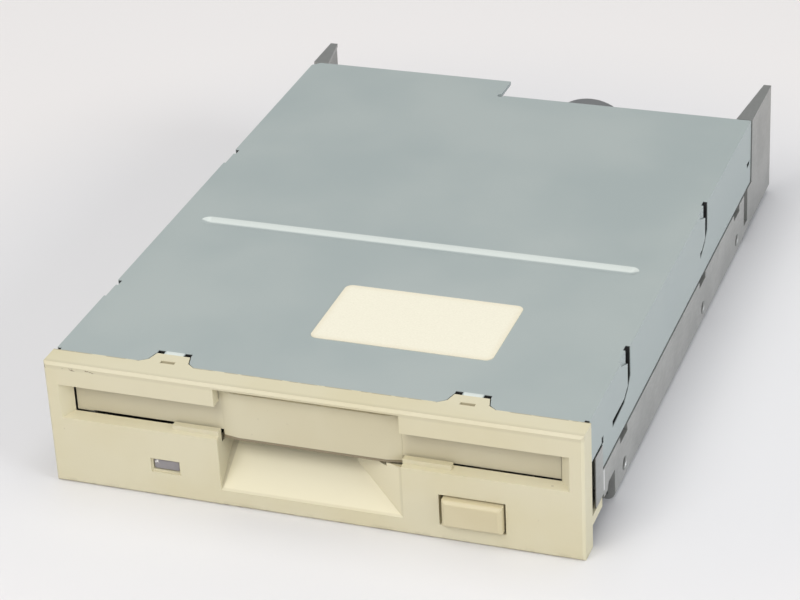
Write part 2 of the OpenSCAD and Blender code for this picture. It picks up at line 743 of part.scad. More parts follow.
// One side of the chassis: wall, rail, foot and rear fin, with the cover's length on that side
module chassis_side(cover_len) {
    rail_in = rail_out - rail_t;
    rail_top = cover_side_z - rail_gap;
    fin_y = cover_len + 0.4;
    fin_top = drive_h - 0.1;
    box([wall_in, bezel_depth, base_z], [wall_out, cover_len - 1.2, cover_under]);
    for (offset_y = [0, hole_pitch, hole_pitch_rear])
        rod_x_axis(rail_out - hole_l, rail_out - weld, hole_y + offset_y, hole_z, boss_r);
    difference() {
        box([rail_in, rail_y, 0], [rail_out, rail_rear, rail_top]);
        side_outline([
            [rail_y - past, -past], [rail_cut_y, -past], [rail_cut_y, tab_z + 0.5],
            [rail_y + 3.2, tab_z + 0.5], [rail_y + 2.4, tab_z - 0.9], [rail_y - past, tab_z - 0.9]
        ], rail_in - past, rail_out + past);
        for (offset_y = [0, hole_pitch, hole_pitch_rear])
            box([rail_in - past, hole_y + offset_y - rail_notch_l / 2 - 0.6, rail_top - rail_notch_h],
                [rail_out + past, hole_y + offset_y + rail_notch_l / 2 - 0.6, rail_top + past]);
    }
    box([rail_in, tab_y, tab_z], [rail_out, rail_y + weld, rail_top]);
    box([rail_in, tab_y, tab_z], [rail_out, cover_cut_y - 0.2, tab_top]);
    box([rail_out - rail_foot_w, rail_cut_y, 0], [rail_in + weld, rail_rear, rail_foot_t]);
    box([rail_in, rail_rear - weld, fin_z], [rail_out, rail_rear + 4, hole_z]);
    box([rail_in, rail_rear + 3.2, fin_z], [rail_out, drive_depth, rail_top]);
    box([rail_in, fin_y, rail_top - weld], [rail_out, drive_depth, fin_top]);
    plan_outline([
        [rail_out, fin_y], [rail_out, drive_depth], [rail_out - fin_flange_tip, drive_depth],
        [rail_out - fin_flange_w, fin_y]
    ], fin_top - 0.8, fin_top);
}

// Cuts in one side of the chassis for the pins, the slide plate's tabs, the cover's spring tabs
// and the mounting holes
module chassis_side_cuts() {
    for (pin_y = pins_y)
        box([wall_in - past, pin_y - pin_slot_r, holder_pin_z - drop - pin_slot_r - 0.3],
            [wall_out + past, pin_y + pin_slot_r, holder_pin_z + pin_slot_r + 0.3]);
    for (tab_y = slide_tabs_y)
        box([wall_in - past, tab_y - stroke - 0.4, slide_z - 0.1],
            [wall_out + past, tab_y + slide_tab_l + 0.4, slide_top + 0.1]);
    box([wall_in - past, bezel_depth - past, tab_z], [wall_out + past, rail_y + 0.8, tab_top]);
    for (slit_y = slits_y)
        box([wall_in - past, slit_y - slit_w - 0.4, holder_pin_z + pin_slot_r],
            [wall_out + past, slit_y + 0.2, cover_under + past]);
    for (offset_y = [0, hole_pitch, hole_pitch_rear])
        rod_x_axis(rail_out - hole_l - past, rail_out + past, hole_y + offset_y, hole_z, hole_r);
    difference() {
        box([rail_out - rail_bend_r, rail_cut_y - past, -past],
            [rail_out + past, rail_rear + past, rail_bend_r]);
        rod_y_axis(rail_cut_y - 2 * past, rail_rear + 2 * past, rail_out - rail_bend_r, rail_bend_r,
            rail_bend_r);
    }
}

module rod_post(y0) {
    difference() {
        box([-rod_x - post_half - 1, y0, base_top - weld],
            [-rod_x + post_half, y0 + post_t, rod_z + rod_r]);
        box([-rod_x - rod_r - pin_fit, y0 - past, rod_z],
            [-rod_x + rod_r + pin_fit, y0 + post_t + past, drive_h]);
        rod_y_axis(y0 - past, y0 + post_t + past, -rod_x, rod_z, rod_r + pin_fit);
        rod_z_axis(base_top, drive_h, -rod_x - post_half + 0.6, y0 + post_t / 2, 0.7);
    }
}

module chassis_right() color([0.66, 0.655, 0.64]) placed() difference() {
    chassis_side(cover_len_right);
    chassis_side_cuts();
}

module chassis_left() color([0.66, 0.655, 0.64]) placed() mirror([1, 0, 0]) difference() {
    chassis_side(cover_len_left);
    chassis_side_cuts();
}

module chassis_floor() color([0.66, 0.655, 0.64]) placed() {
    ear_front = bezel_depth + 0.3;
    front_notch = slot_mid_half + scoop_wall + 0.8;
    boss_room = boss_r + 0.3;
    difference() {
        union() {
            box([-wall_in, ear_front, base_z], [wall_in, base_rear, base_top]);
            box([screw_x - ear_at - 2.5, motor_wall_y, base_z],
                [screw_x + ear_at + 2.5, stepper_y, screw_z + 8]);
            for (at = board_screws) rod_z_axis(board_top, base_top - weld, at[0], at[1], 2.6);
            rod_post(front_post_y);
            rod_post(rear_post_y);
        }
        box([-front_notch, 0, base_z - past], [front_notch, pocket_back + 0.4, base_top + past]);
        box([screw_x - stepper_r - 0.6, stepper_y, base_z - past],
            [screw_x + stepper_r + 0.6, base_rear + past, base_top + past]);
        both_sides() for (offset_y = [0, hole_pitch, hole_pitch_rear])
            box([rail_out - hole_l - 0.3, hole_y + offset_y - boss_room, base_z - past],
                [wall_in + past, hole_y + offset_y + boss_room, base_top + past]);
        rod_z_axis(base_z - past, base_top + past, 0, spindle_y, bearing_r + seat_fit);
        rod_y_axis(motor_wall_y - past, stepper_y + past, screw_x, screw_z, pilot_r + seat_fit);
        for (side = [-1, 1])
            rod_y_axis(motor_wall_y - past, stepper_y + past, screw_x + side * ear_at, screw_z, 1);
        for (at = board_screws) rod_z_axis(board_top - past, base_top + past, at[0], at[1], 1.15);
        translate([0, spindle_y, 0]) for (angle = [45 : 90 : 315])
            rotate(angle) rod_z_axis(base_z - past, base_top + past, motor_screw_at, 0, 1);
        rod_z_axis(base_z - past, base_top + past, screw_x + 3.6, bracket_y + bracket_t / 2, 0.8);
    }
}

module spring_anchors() color([0.66, 0.655, 0.64]) placed()
    both_sides() box([spring_x - spring_anchor_w / 2, spring_hook_y - base_t, slide_top + 0.2],
        [wall_in, spring_hook_y, cover_under - 0.1]);

// Slit that frees a spring tab, from the cover's top edge down and forward to its toe,
// and the shallow notch pressed into the corner of the cover in front of it
module tab_slit(y, toe_y) {
    bend_z = drive_h - 6.2;
    knee_y = y - 4.4;
    toe_z = drive_h - 9.9;
    toe_h = 1.4;
    side_outline([
        [y, drive_h + past], [y, bend_z], [y - slit_w, bend_z - slit_w], [knee_y, toe_z + toe_h / 3],
        [toe_y, toe_z], [toe_y, toe_z + toe_h], [knee_y, toe_z + toe_h],
        [y - slit_w, bend_z - slit_w / 2], [y - slit_w, drive_h + past]
    ], cover_in - 0.1, cover_half + past);
    side_outline([
        [y - slit_w + weld, drive_h + past], [y - slit_w + weld, drive_h - 2.7],
        [y - 6.4, drive_h - 0.8], [y - 6.4, drive_h + past]
    ], cover_half - cover_t / 2, cover_half + past);
}

module top_cover() color([0.62, 0.66, 0.65]) placed() {
    rear_cut = 1.5;
    rib_bed = 0.3;
    rib_end = cover_half - rib_margin - rib_w / 2;
    difference() {
        union() {
            plan_outline([
                [-cover_half, bezel_depth], [cover_half, bezel_depth], [cover_half, cover_len_right],
                [-cover_step_x, cover_len_right], [-cover_step_x, cover_len_left],
                [rear_cut - cover_half, cover_len_left], [-cover_half, cover_len_left - rear_cut]
            ], cover_under, drive_h);
            box([cover_in, bezel_depth + 0.2, cover_side_z],
                [cover_half, cover_len_right, cover_under + weld]);
            box([-cover_half, bezel_depth + 0.2, cover_side_z],
                [-cover_in, cover_len_left - rear_cut, cover_under + weld]);
        }
        both_sides() {
            plan_outline(clip_outline(0.15), cover_under - past, drive_h + past);
            for (corner = [-1, 1])
                translate([clip_x + corner * (clip_tip_w / 2 - 0.6), bezel_depth + clip_l, cover_under])
                    box([-0.7, -0.1, -past], [0.7, 1.1, cover_t + past]);
            side_outline([
                [bezel_depth + clip_l, drive_h - 0.5], [bezel_depth + clip_l + 1.1, drive_h],
                [bezel_depth + clip_l + 1.1, drive_h + past], [bezel_depth + clip_l, drive_h + past]
            ], clip_x - clip_hook_w / 2, clip_x + clip_hook_w / 2);
            box([cover_in - 0.1, bezel_depth - past, cover_under - 0.6],
                [cover_half + past, bezel_depth + 0.7, drive_h + past]);
            tab_slit(slits_y[0], hole_y - 7.3);
            tab_slit(slits_y[1], hole_y + hole_pitch - 1.8);
            box([cover_in - past, bezel_depth - past, cover_side_z - past],
                [cover_half + past, cover_cut_y, cover_cut_z]);
            box([cover_in - past, cover_cut_y - weld, cover_cut_z - 0.5],
                [cover_half + past, cover_cut_y + 1, cover_cut_z + 1]);
        }
        box([cover_in - past, cover_len_right - 3.4, cover_side_z + 4.6],
            [cover_half + past, cover_len_right - 1, cover_side_z + 5.6]);
        rod_z_axis(cover_under - past, drive_h + past, -cover_step_x, cover_len_right, 0.7);
        side_outline([
            [rib_y - rib_bed, drive_h - rib_depth], [rib_y + rib_bed, drive_h - rib_depth],
            [rib_y + rib_w - rib_bed, drive_h + rib_depth], [rib_y - rib_w + rib_bed, drive_h + rib_depth]
        ], -rib_end, rib_end);
        for (side = [-1, 1]) translate([side * rib_end, rib_y, drive_h - rib_depth])
            cylinder(r1 = rib_bed, r2 = rib_w - rib_bed, h = 2 * rib_depth);
    }
}

module paper_label() color([0.99, 0.96, 0.87]) placed() {
    label_x = 10.5;
    label_y = 30.9;
    corner = 1.5;
    translate([label_x, label_y, drive_h]) linear_extrude(label_t) {
        square([label_w - 2 * corner, label_l], center = true);
        square([label_w, label_l - 2 * corner], center = true);
        for (x = [-1, 1], y = [-1, 1])
            translate([x * (label_w / 2 - corner), y * (label_l / 2 - corner)]) circle(corner);
    }
}

// Slanted slot in the slide plate's skirt that carries a holder pin down as the plate moves forward
module slide_slot(pin_y) {
    for (end = [0, 1])
        rod_x_axis(slide_in - past, slide_out + past,
            pin_y + end * stroke, holder_pin_z - end * drop, pin_slot_r);
    slope = atan2(drop, stroke);
    lift = pin_slot_r / cos(slope);
    run = pin_slot_r * sin(slope);
    side_outline([
        [pin_y - run, holder_pin_z - pin_slot_r * cos(slope)],
        [pin_y + stroke - run, holder_pin_z - drop - pin_slot_r * cos(slope)],
        [pin_y + stroke + run, holder_pin_z - drop + pin_slot_r * cos(slope)],
        [pin_y + run, holder_pin_z + lift - run * tan(slope)]
    ], slide_in - past, slide_out + past);
}

module slide_plate() color([0.74, 0.74, 0.72]) placed() {
    window_half = 28;
    skirt_rear = pins_y[1] + stroke + pin_slot_r + 3;
    difference() {
        union() {
            box([-slide_out, slide_front, slide_z], [slide_out, slide_rear, slide_top]);
            both_sides() {
                box([slide_in, slide_front, slide_skirt_z], [slide_out, skirt_rear, slide_z + weld]);
                for (tab_y = slide_tabs_y)
                    box([slide_out - weld, tab_y, slide_z],
                        [wall_out - 0.5, tab_y + slide_tab_l, slide_top]);
                box([spring_x - 2, spring_end_y, slide_top - weld],
                    [spring_x + 2, spring_end_y + slide_t, cover_under - 0.2]);
            }
            box([slide_in, leg_rear - leg_l, leg_z], [slide_out, leg_rear, slide_skirt_z + 2]);
            box([stem_x0, leg_rear - slide_t, leg_z], [slide_out, leg_rear, leg_z + link_h]);
        }
        box([-window_half, slide_front + 11, slide_z - past],
            [window_half, spindle_y + 5, slide_top + past]);
        box([-arm_room - 1.5, arm_room_y, slide_z - past],
            [arm_room + 1.5, slide_rear + past, slide_top + past]);
        both_sides() for (pin_y = pins_y) slide_slot(pin_y);
    }
}

module slide_springs() color([0.72, 0.73, 0.74]) placed()
    both_sides() rod_y_axis(spring_hook_y, spring_end_y, spring_x, spring_z, slide_spring_r);

module disk_holder() color([0.77, 0.77, 0.75]) placed() {
    lever_room = lever_y + 11;
    pin_slot_w = 3.6;
    difference() {
        union() {
            box([-holder_out, holder_front, holder_roof], [holder_out, holder_rear, holder_top]);
            box([-holder_out, holder_rear - weld, holder_roof], [-arm_room, lever_room, holder_top]);
            both_sides() {
                box([holder_in, holder_front, holder_floor - holder_t],
                    [holder_out, holder_rear, holder_top]);
                box([holder_out - holder_flange_w, holder_front, holder_floor - holder_t],
                    [holder_out, holder_rear, holder_floor]);
            }
            box([-lever_x - 8, lever_y - 24, holder_top - weld],
                [-lever_x - 6, lever_y - 23, lever_top]);
        }
        box([-arm_room, arm_room_y, holder_roof - past],
            [arm_room, lever_room + past, holder_top + past]);
        translate([-lever_x, lever_y, 0])
            for (turn = [lever_rest : lever_swing / 8 : lever_rest + lever_swing + 0.01]) rotate(turn)
                box([lever_reach - pin_slot_w / 2, -pin_slot_w / 2 - 0.6, holder_roof - past],
                    [lever_reach + pin_slot_w / 2, pin_slot_w / 2 + 0.6, holder_top + past]);
    }
}

module holder_pins() color([0.7, 0.7, 0.7]) placed()
    both_sides() for (pin_y = pins_y)
        rod_x_axis(holder_out, holder_pin_end, pin_y, holder_pin_z, holder_pin_r);

module shutter_lever() color([0.72, 0.72, 0.7]) placed() {
    lever_pin_r = 1.2;
    post_r = 1.5;
    translate([-lever_x, lever_y, 0]) rotate(lever_rest) difference() {
        union() {
            plan_outline([
                [-1, -3], [lever_reach, -1.8], [lever_reach, 1.8], [-1, 3]
            ], lever_z, lever_top);
            rod_z_axis(lever_z, lever_top, 0, 0, 3.4);
            rod_z_axis(disk_up_z + 0.2, lever_z + weld, lever_reach - 0.4, 0, lever_pin_r);
        }
        rod_z_axis(lever_z - past, lever_top + past, 0, 0, post_r + pin_fit);
    }
    plan_outline([
        [-lever_x - 8, lever_y - 3.8], [-lever_x - 6, lever_y - 3.8], [-lever_x - 2, lever_y - 1.6],
        [-lever_x - 2.6, lever_y + 1], [-lever_x - 8, lever_y - 2.6]
    ], lever_z, lever_top);
}

module lever_pivot() color([0.8, 0.8, 0.78]) placed() {
    rod_z_axis(holder_top, lever_top + 0.1, -lever_x, lever_y, 1.5);
    rod_z_axis(lever_top + 0.1, lever_top + 0.5, -lever_x, lever_y, 2.3);
}

module lever_spring() color([0.72, 0.73, 0.74]) placed()
    rod_y_axis(lever_y - 23, lever_y - 3.8, -lever_x - 7, lever_z + lever_t / 2, lever_t / 2);

module head_carriage() color([0.16, 0.16, 0.17]) placed() {
    difference() {
        union() {
            box([-rod_x - sleeve_half, carriage_y, base_top + 1.2],
                [-rod_x + sleeve_half, carriage_rear, carriage_top + 0.2]);
            box([-rod_x + sleeve_half - weld, carriage_y, base_top + 2.6],
                [bridge_x1, carriage_rear, carriage_top]);
            box([-tongue_w / 2, arm_front, tongue_low], [tongue_w / 2, carriage_y + weld, tongue_high]);
            box([-tongue_w / 2, carriage_y, carriage_top - weld],
                [tongue_w / 2, carriage_y + 3, tongue_high]);
            box([-tower_half, tower_y, carriage_top - 4], [bridge_x1, tower_y + tower_l, tower_top]);
            box([bridge_x1 - 4, carriage_y + 6, base_top + 0.2],
                [bridge_x1 - 1, carriage_y + 14, base_top + 3]);
            box([-sensor_x0 - sensor_gap - 1, flag_y, flag_z],
                [-rod_x - sleeve_half + weld, flag_y + flag_l, flag_z + 1]);
            box([-sensor_x0 - sensor_wall - sensor_gap / 2 - 0.4, flag_y, base_top + 1.8],
                [-sensor_x0 - sensor_wall - sensor_gap / 2 + 0.4, flag_y + flag_l, flag_z + weld]);
            box([-sensor_x0 + 0.6, carriage_y + 9, base_top + 2],
                [-rod_x - sleeve_half + weld, carriage_y + 13, base_top + 3]);
        }
        rod_y_axis(carriage_y - past, carriage_rear + past, -rod_x, rod_z, rod_r + pin_fit);
    }
}

module lower_head() color([0.55, 0.53, 0.5]) placed()
    box([-head_w / 2, head_y - head_l / 2, tongue_high],
        [head_w / 2, head_y + head_l / 2, media_z - 0.05]);

module on_raised_arm() {
    translate([0, arm_pivot_y, arm_pivot_z]) rotate([-arm_tilt, 0, 0])
        translate([0, -arm_pivot_y, -arm_pivot_z]) children();
}

module upper_arm() color([0.2, 0.2, 0.21]) placed() on_raised_arm() {
    tip_half = head_w / 2 + 1.5;
    plan_outline([
        [-tip_half, arm_front], [tip_half, arm_front], [arm_half, arm_front + 16],
        [arm_half, arm_pivot_y + 1.4], [-arm_half, arm_pivot_y + 1.4], [-arm_half, arm_front + 16]
    ], arm_low, arm_low + arm_t);
    rod_x_axis(-arm_half, arm_half, arm_pivot_y, arm_pivot_z, arm_t / 2 + 0.15);
}

module upper_head() color([0.55, 0.53, 0.5]) placed() on_raised_arm()
    box([-head_w / 2, head_y - head_l / 2, media_z + 0.05], [head_w / 2, head_y + head_l / 2, arm_low]);

module arm_hinge_leaf() color([0.78, 0.76, 0.7]) placed()
    box([-arm_half + 1, tower_y + 1.2, tower_top], [arm_half - 1, arm_pivot_y - 0.6, tower_top + 0.2]);

module lead_needle() color([0.75, 0.75, 0.75]) placed() {
    rod_x_axis(bridge_x1, screw_x - screw_r - 0.2, needle_y, screw_z, 0.5);
    box([bridge_x1, needle_y - 2, screw_z - 1], [bridge_x1 + 0.4, needle_y + 2, screw_z + 1]);
}

// Flat ribbon from the carriage back over the base plate's rear edge and down to the main board
module head_ribbon() color([0.75, 0.5, 0.25]) placed() {
    film = 0.15;
    low = base_top + 3;
    back = base_rear + 0.6;
    side_outline([
        [carriage_y + 9.5, low], [back, low], [back, board_top], [back + film, board_top],
        [back + film, low + film], [carriage_y + 9.5, low + film]
    ], -sensor_x0 + 0.6, -sensor_x0 + 3.4);
}

module guide_rod() color([0.8, 0.8, 0.8]) placed()
    rod_y_axis(front_post_y, rear_post_y + post_t, -rod_x, rod_z, rod_r);

module rod_clamps() color([0.74, 0.74, 0.72]) placed()
    for (y0 = [front_post_y, rear_post_y]) difference() {
        box([-rod_x - post_half - 1, y0, rod_z + rod_r],
            [-rod_x + rod_r, y0 + post_t, rod_z + rod_r + 0.6]);
        rod_z_axis(rod_z, drive_h, -rod_x - post_half + 0.6, y0 + post_t / 2, 0.9);
    }

module rod_clamp_screws() color([0.7, 0.7, 0.7]) placed()
    for (y0 = [front_post_y, rear_post_y]) {
        top = rod_z + rod_r + 0.6;
        rod_z_axis(top, top + 0.6, -rod_x - post_half + 0.6, y0 + post_t / 2, 1.3);
        rod_z_axis(top - 3.5, top + weld, -rod_x - post_half + 0.6, y0 + post_t / 2, 0.65);
    }

module stepper_motor() color([0.45, 0.45, 0.46]) placed() difference() {
    union() {
        rod_y_axis(stepper_y, stepper_rear, screw_x, screw_z, stepper_r);
        rod_y_axis(motor_wall_y + 0.2, stepper_y + weld, screw_x, screw_z, pilot_r);
        box([screw_x - ear_at - 2, stepper_y, screw_z - 2],
            [screw_x + ear_at + 2, stepper_y + 1, screw_z + 2]);
    }
    rod_y_axis(motor_wall_y - past, stepper_y + 6, screw_x, screw_z, screw_r - 0.2 + pin_fit);
    for (side = [-1, 1])
        rod_y_axis(stepper_y - past, stepper_y + 1 + past, screw_x + side * ear_at, screw_z, 1.2);
}

module stepper_screws() color([0.7, 0.7, 0.7]) placed()
    for (side = [-1, 1]) {
        rod_y_axis(stepper_y + 1, stepper_y + 2, screw_x + side * ear_at, screw_z, 1.8);
        rod_y_axis(motor_wall_y, stepper_y + 1 + weld, screw_x + side * ear_at, screw_z, 0.95);
    }

module lead_screw() color([0.82, 0.82, 0.82]) placed() {
    thread_y = bracket_y + bracket_t + 1;
    thread_l = motor_wall_y - 1 - thread_y;
    turns = thread_l / screw_lead;
    rod_y_axis(bracket_y, thread_y + weld, screw_x, screw_z, journal_r);
    translate([screw_x, thread_y, screw_z]) rotate([-90, 0, 0])
        linear_extrude(thread_l, twist = -360 * turns, slices = round(8 * turns), $fn = 12)
            translate([screw_groove / 2, 0]) circle(screw_r - screw_groove / 2);
    rod_y_axis(thread_y + thread_l - weld, stepper_y + 5.5, screw_x, screw_z, screw_r - 0.2);
}

module lead_screw_bracket() color([0.74, 0.74, 0.72]) placed() difference() {
    union() {
        box([screw_x - 2.5, bracket_y, base_top],
            [screw_x + 2.5, bracket_y + bracket_t, screw_z + 2.2]);
        box([screw_x - 2.5, bracket_y, base_top], [screw_x + 5.6, bracket_y + bracket_t, base_top + 1]);
    }
    rod_y_axis(bracket_y - past, bracket_y + bracket_t + past, screw_x, screw_z, journal_r + pin_fit);
    rod_z_axis(base_top - past, base_top + 1 + past, screw_x + 3.6, bracket_y + bracket_t / 2, 0.8);
}

module spindle_shaft() color([0.82, 0.82, 0.82]) placed()
    rod_z_axis(base_z + 0.4, hub_top + shaft_nose, 0, spindle_y, shaft_r);

module spindle_hub() color([0.8, 0.79, 0.76]) placed() difference() {
    rod_z_axis(rotor_top, hub_top, 0, spindle_y, hub_r);
    rod_z_axis(rotor_top - past, hub_top + past, 0, spindle_y, shaft_r + seat_fit);
}

module drive_pin() color([0.85, 0.85, 0.85]) placed()
    rod_z_axis(hub_top, hub_top + shaft_nose, drive_pin_at, spindle_y, drive_pin_r);

module rotor_cup() color([0.76, 0.76, 0.74]) placed() difference() {
    rod_z_axis(rotor_z, rotor_top, 0, spindle_y, rotor_r);
    rod_z_axis(rotor_z - past, rotor_top - rotor_top_t, 0, spindle_y, rotor_r - rotor_rim_t);
    rod_z_axis(rotor_z, rotor_top + past, 0, spindle_y, shaft_r + seat_fit);
}

module ring_magnet() color([0.2, 0.2, 0.2]) placed() difference() {
    rod_z_axis(rotor_z, rotor_top - rotor_top_t, 0, spindle_y, magnet_out - seat_fit);
    rod_z_axis(rotor_z - past, rotor_top, 0, spindle_y, magnet_in);
}

module stator_core() color([0.5, 0.5, 0.52]) placed() translate([0, spindle_y, stator_z]) difference() {
    union() {
        cylinder(r = core_r, h = stator_h);
        for (tooth = [0 : stator_teeth - 1]) rotate(tooth * 360 / stator_teeth) {
            box([core_r - 1, -tooth_w / 2, 0], [stator_r - 1.5, tooth_w / 2, stator_h]);
            box([stator_r - 2, -tooth_w, 0], [stator_r - 0.4, tooth_w, stator_h]);
        }
    }
    translate([0, 0, -past]) cylinder(r = bearing_r + seat_fit, h = stator_h + 2 * past);
}

module stator_coils() color([0.72, 0.42, 0.2]) placed() translate([0, spindle_y, stator_z])
    for (tooth = [0 : stator_teeth - 1]) rotate(tooth * 360 / stator_teeth) difference() {
        box([coil_in, -tooth_w / 2 - 1, -0.5], [coil_out, tooth_w / 2 + 1, stator_h + 0.45]);
        box([coil_in - past, -tooth_w / 2 - 0.05, -0.05],
            [coil_out + past, tooth_w / 2 + 0.05, stator_h + 0.05]);
    }

module spindle_bearing() color([0.72, 0.6, 0.35]) placed() difference() {
    union() {
        rod_z_axis(base_z, rotor_top - rotor_top_t - 0.3, 0, spindle_y, bearing_r);
        rod_z_axis(motor_board_top, stator_z, 0, spindle_y, core_r - 0.5);
    }
    rod_z_axis(base_z + 0.3, rotor_top + past, 0, spindle_y, shaft_r + pin_fit);
}

module motor_board() color([0.14, 0.3, 0.2]) placed() difference() {
    union() {
        rod_z_axis(base_top, motor_board_top, 0, spindle_y, motor_board_r);
        box([-led_x - 2, led_rear + 0.4, base_top], [-led_x + 6.2, spindle_y, motor_board_top]);
    }
    rod_z_axis(base_top - past, motor_board_top + past, 0, spindle_y, bearing_r + seat_fit);
    translate([0, spindle_y, 0]) for (angle = [45 : 90 : 315])
        rotate(angle) rod_z_axis(base_top - past, motor_board_top + past, motor_screw_at, 0, 1.2);
    box([-motor_board_r - past, front_post_y - 0.4, base_top - past],
        [motor_board_r + past, disk_lead_y, motor_board_top + past]);
}

module motor_board_screws() color([0.7, 0.7, 0.7]) placed() translate([0, spindle_y, 0])
    for (angle = [45 : 90 : 315]) rotate(angle) {
        rod_z_axis(motor_board_top, motor_board_top + 0.8, motor_screw_at, 0, 1.8);
        rod_z_axis(base_z, motor_board_top + weld, motor_screw_at, 0, 0.95);
    }

module main_board() color([0.16, 0.33, 0.2]) placed() difference() {
    box([-board_half, board_y, board_z], [board_half, board_rear, board_top]);
    box([header_x1 + 0.4, motor_wall_y - 1, board_z - past],
        [power_x - 1, board_rear + past, board_top + past]);
    for (at = board_screws) rod_z_axis(board_z - past, board_top + past, at[0], at[1], 1.4);
}

module main_board_screws() color([0.7, 0.7, 0.7]) placed() for (at = board_screws) {
    rod_z_axis(board_z - 1, board_z, at[0], at[1], 2.2);
    rod_z_axis(board_z - weld, base_top - 0.1, at[0], at[1], 1.1);
}

module chip(x, y, z, w, l) {
    box([x - w / 2, y - l / 2, z], [x + w / 2, y + l / 2, z + chip_t]);
}

module control_chips() color([0.1, 0.1, 0.11]) placed() {
    small = chip_side / 2;
    under = board_z - chip_t;
    chip(-chip_side, board_y + 2.7 * chip_side, under, chip_side, chip_side);
    chip(1.5 * chip_side, board_y + 2.3 * chip_side, under, 1.3 * small, small);
    chip(-2.1 * chip_side, board_y + chip_side, under, 1.4 * small, small);
    chip(chip_side, board_y + chip_side, under, small, 0.6 * small);
    chip(-led_x + 2.1, led_rear + 9, motor_board_top, small, small);
}

module capacitors() color([0.2, 0.22, 0.3]) placed()
    for (x = [power_x + 3, power_x + 8.5])
        rod_z_axis(board_top, board_top + cap_h, x, base_rear + 2.5, cap_r);

module signal_connector() color([0.13, 0.13, 0.14]) placed()
    box([header_x1 - header_w, header_front, board_top],
        [header_x1, header_rear, board_top + header_h]);

module signal_pins() color([0.83, 0.7, 0.35]) placed()
    for (column = [0 : pin_columns - 1], row = [0, 1]) {
        pin_x = header_x1 - header_w / 2 + (column - (pin_columns - 1) / 2) * pin_pitch;
        pin_z = board_top + header_h / 2 + (row - 0.5) * pin_pitch;
        box([pin_x - pin_side / 2, header_rear, pin_z - pin_side / 2],
            [pin_x + pin_side / 2, header_rear + pin_l, pin_z + pin_side / 2]);
    }

module power_connector() color([0.88, 0.87, 0.82]) placed() difference() {
    box([power_x, header_front, board_top],
        [power_x + power_w, header_rear + 5, board_top + power_h]);
    box([power_x + power_wall, header_front + 2, board_top + power_wall],
        [power_x + power_w - power_wall, header_rear + 5 + past, board_top + power_h - power_wall]);
}

module power_pins() color([0.83, 0.7, 0.35]) placed()
    for (column = [0 : 3]) {
        pin_x = power_x + power_w / 2 + (column - 1.5) * power_pitch;
        pin_z = board_top + power_h / 2;
        box([pin_x - pin_side / 2, header_front + 2, pin_z - pin_side / 2],
            [pin_x + pin_side / 2, header_rear + 3, pin_z + pin_side / 2]);
    }

module track_sensor() color([0.1, 0.1, 0.1]) placed() {
    sensor_x1 = sensor_x0 + 2 * sensor_wall + sensor_gap;
    difference() {
        box([-sensor_x1, flag_y - 1, base_top], [-sensor_x0, flag_y + flag_l + 1, sensor_top]);
        box([-sensor_x1 + sensor_wall, flag_y - past - 1, base_top + 1.2],
            [-sensor_x0 - sensor_wall, flag_y + flag_l + past + 1, sensor_top + past]);
    }
}

// Places of the write protect, disk in and density switches
function switch_places() = [-switch_x, switch_pitch - switch_x, switch_x];

module switch_bodies() color([0.12, 0.12, 0.13]) placed() for (x = switch_places()) difference() {
    box([x - switch_w / 2, switch_y - switch_w / 2, base_top],
        [x + switch_w / 2, switch_y + switch_w / 2, switch_top]);
    rod_z_axis(plunger_low - plunger_travel - 0.4, switch_top + past, x, switch_y, plunger_r + pin_fit);
}

module plunger(x) color([0.9, 0.9, 0.88]) placed()
    rod_z_axis(plunger_low, plunger_top, x, switch_y, plunger_r);

module write_protect_plunger() plunger(switch_places()[0]);

module disk_in_plunger() plunger(switch_places()[1]);

module density_plunger() plunger(switch_places()[2]);

bezel();
dust_flap();
flap_spring();
eject_button();
led_lens();
led();
chassis_floor();
chassis_right();
chassis_left();
spring_anchors();
top_cover();
paper_label();
slide_plate();
slide_springs();
disk_holder();
holder_pins();
shutter_lever();
lever_pivot();
lever_spring();
head_carriage();
lower_head();
upper_arm();
upper_head();
arm_hinge_leaf();
lead_needle();
head_ribbon();
guide_rod();
rod_clamps();
rod_clamp_screws();
stepper_motor();
stepper_screws();
lead_screw();
lead_screw_bracket();
spindle_shaft();
spindle_hub();
drive_pin();
rotor_cup();
ring_magnet();
stator_core();
stator_coils();
spindle_bearing();
motor_board();
motor_board_screws();
main_board();
main_board_screws();
control_chips();
capacitors();
signal_connector();
signal_pins();
power_connector();
power_pins();
track_sensor();
switch_bodies();
write_protect_plunger();
disk_in_plunger();
density_plunger();
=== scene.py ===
import math

import bmesh
import bpy
from mathutils import Matrix, Vector


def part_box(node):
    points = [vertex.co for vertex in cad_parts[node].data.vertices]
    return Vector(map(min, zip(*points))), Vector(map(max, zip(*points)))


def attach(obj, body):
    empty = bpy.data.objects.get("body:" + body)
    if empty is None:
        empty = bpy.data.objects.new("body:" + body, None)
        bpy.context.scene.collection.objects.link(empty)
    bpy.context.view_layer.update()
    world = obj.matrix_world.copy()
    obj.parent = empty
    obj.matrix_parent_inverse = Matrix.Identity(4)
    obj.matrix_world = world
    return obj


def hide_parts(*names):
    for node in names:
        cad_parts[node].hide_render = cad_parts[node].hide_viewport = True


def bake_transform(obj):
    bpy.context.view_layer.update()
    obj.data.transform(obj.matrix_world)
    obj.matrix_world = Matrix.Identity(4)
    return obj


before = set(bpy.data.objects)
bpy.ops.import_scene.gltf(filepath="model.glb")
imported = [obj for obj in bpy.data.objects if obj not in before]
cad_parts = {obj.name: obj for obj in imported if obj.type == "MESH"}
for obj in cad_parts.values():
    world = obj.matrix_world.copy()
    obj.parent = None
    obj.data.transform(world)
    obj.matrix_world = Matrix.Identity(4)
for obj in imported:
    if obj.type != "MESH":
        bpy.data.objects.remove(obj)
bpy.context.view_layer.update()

# Chassis: floor plate, two side walls with rails and rear fins, and the anchors of the slide's springs.
# Zinc-plated steel sheet, punched and folded; the press leaves the edges slightly rounded.
MM = 0.001


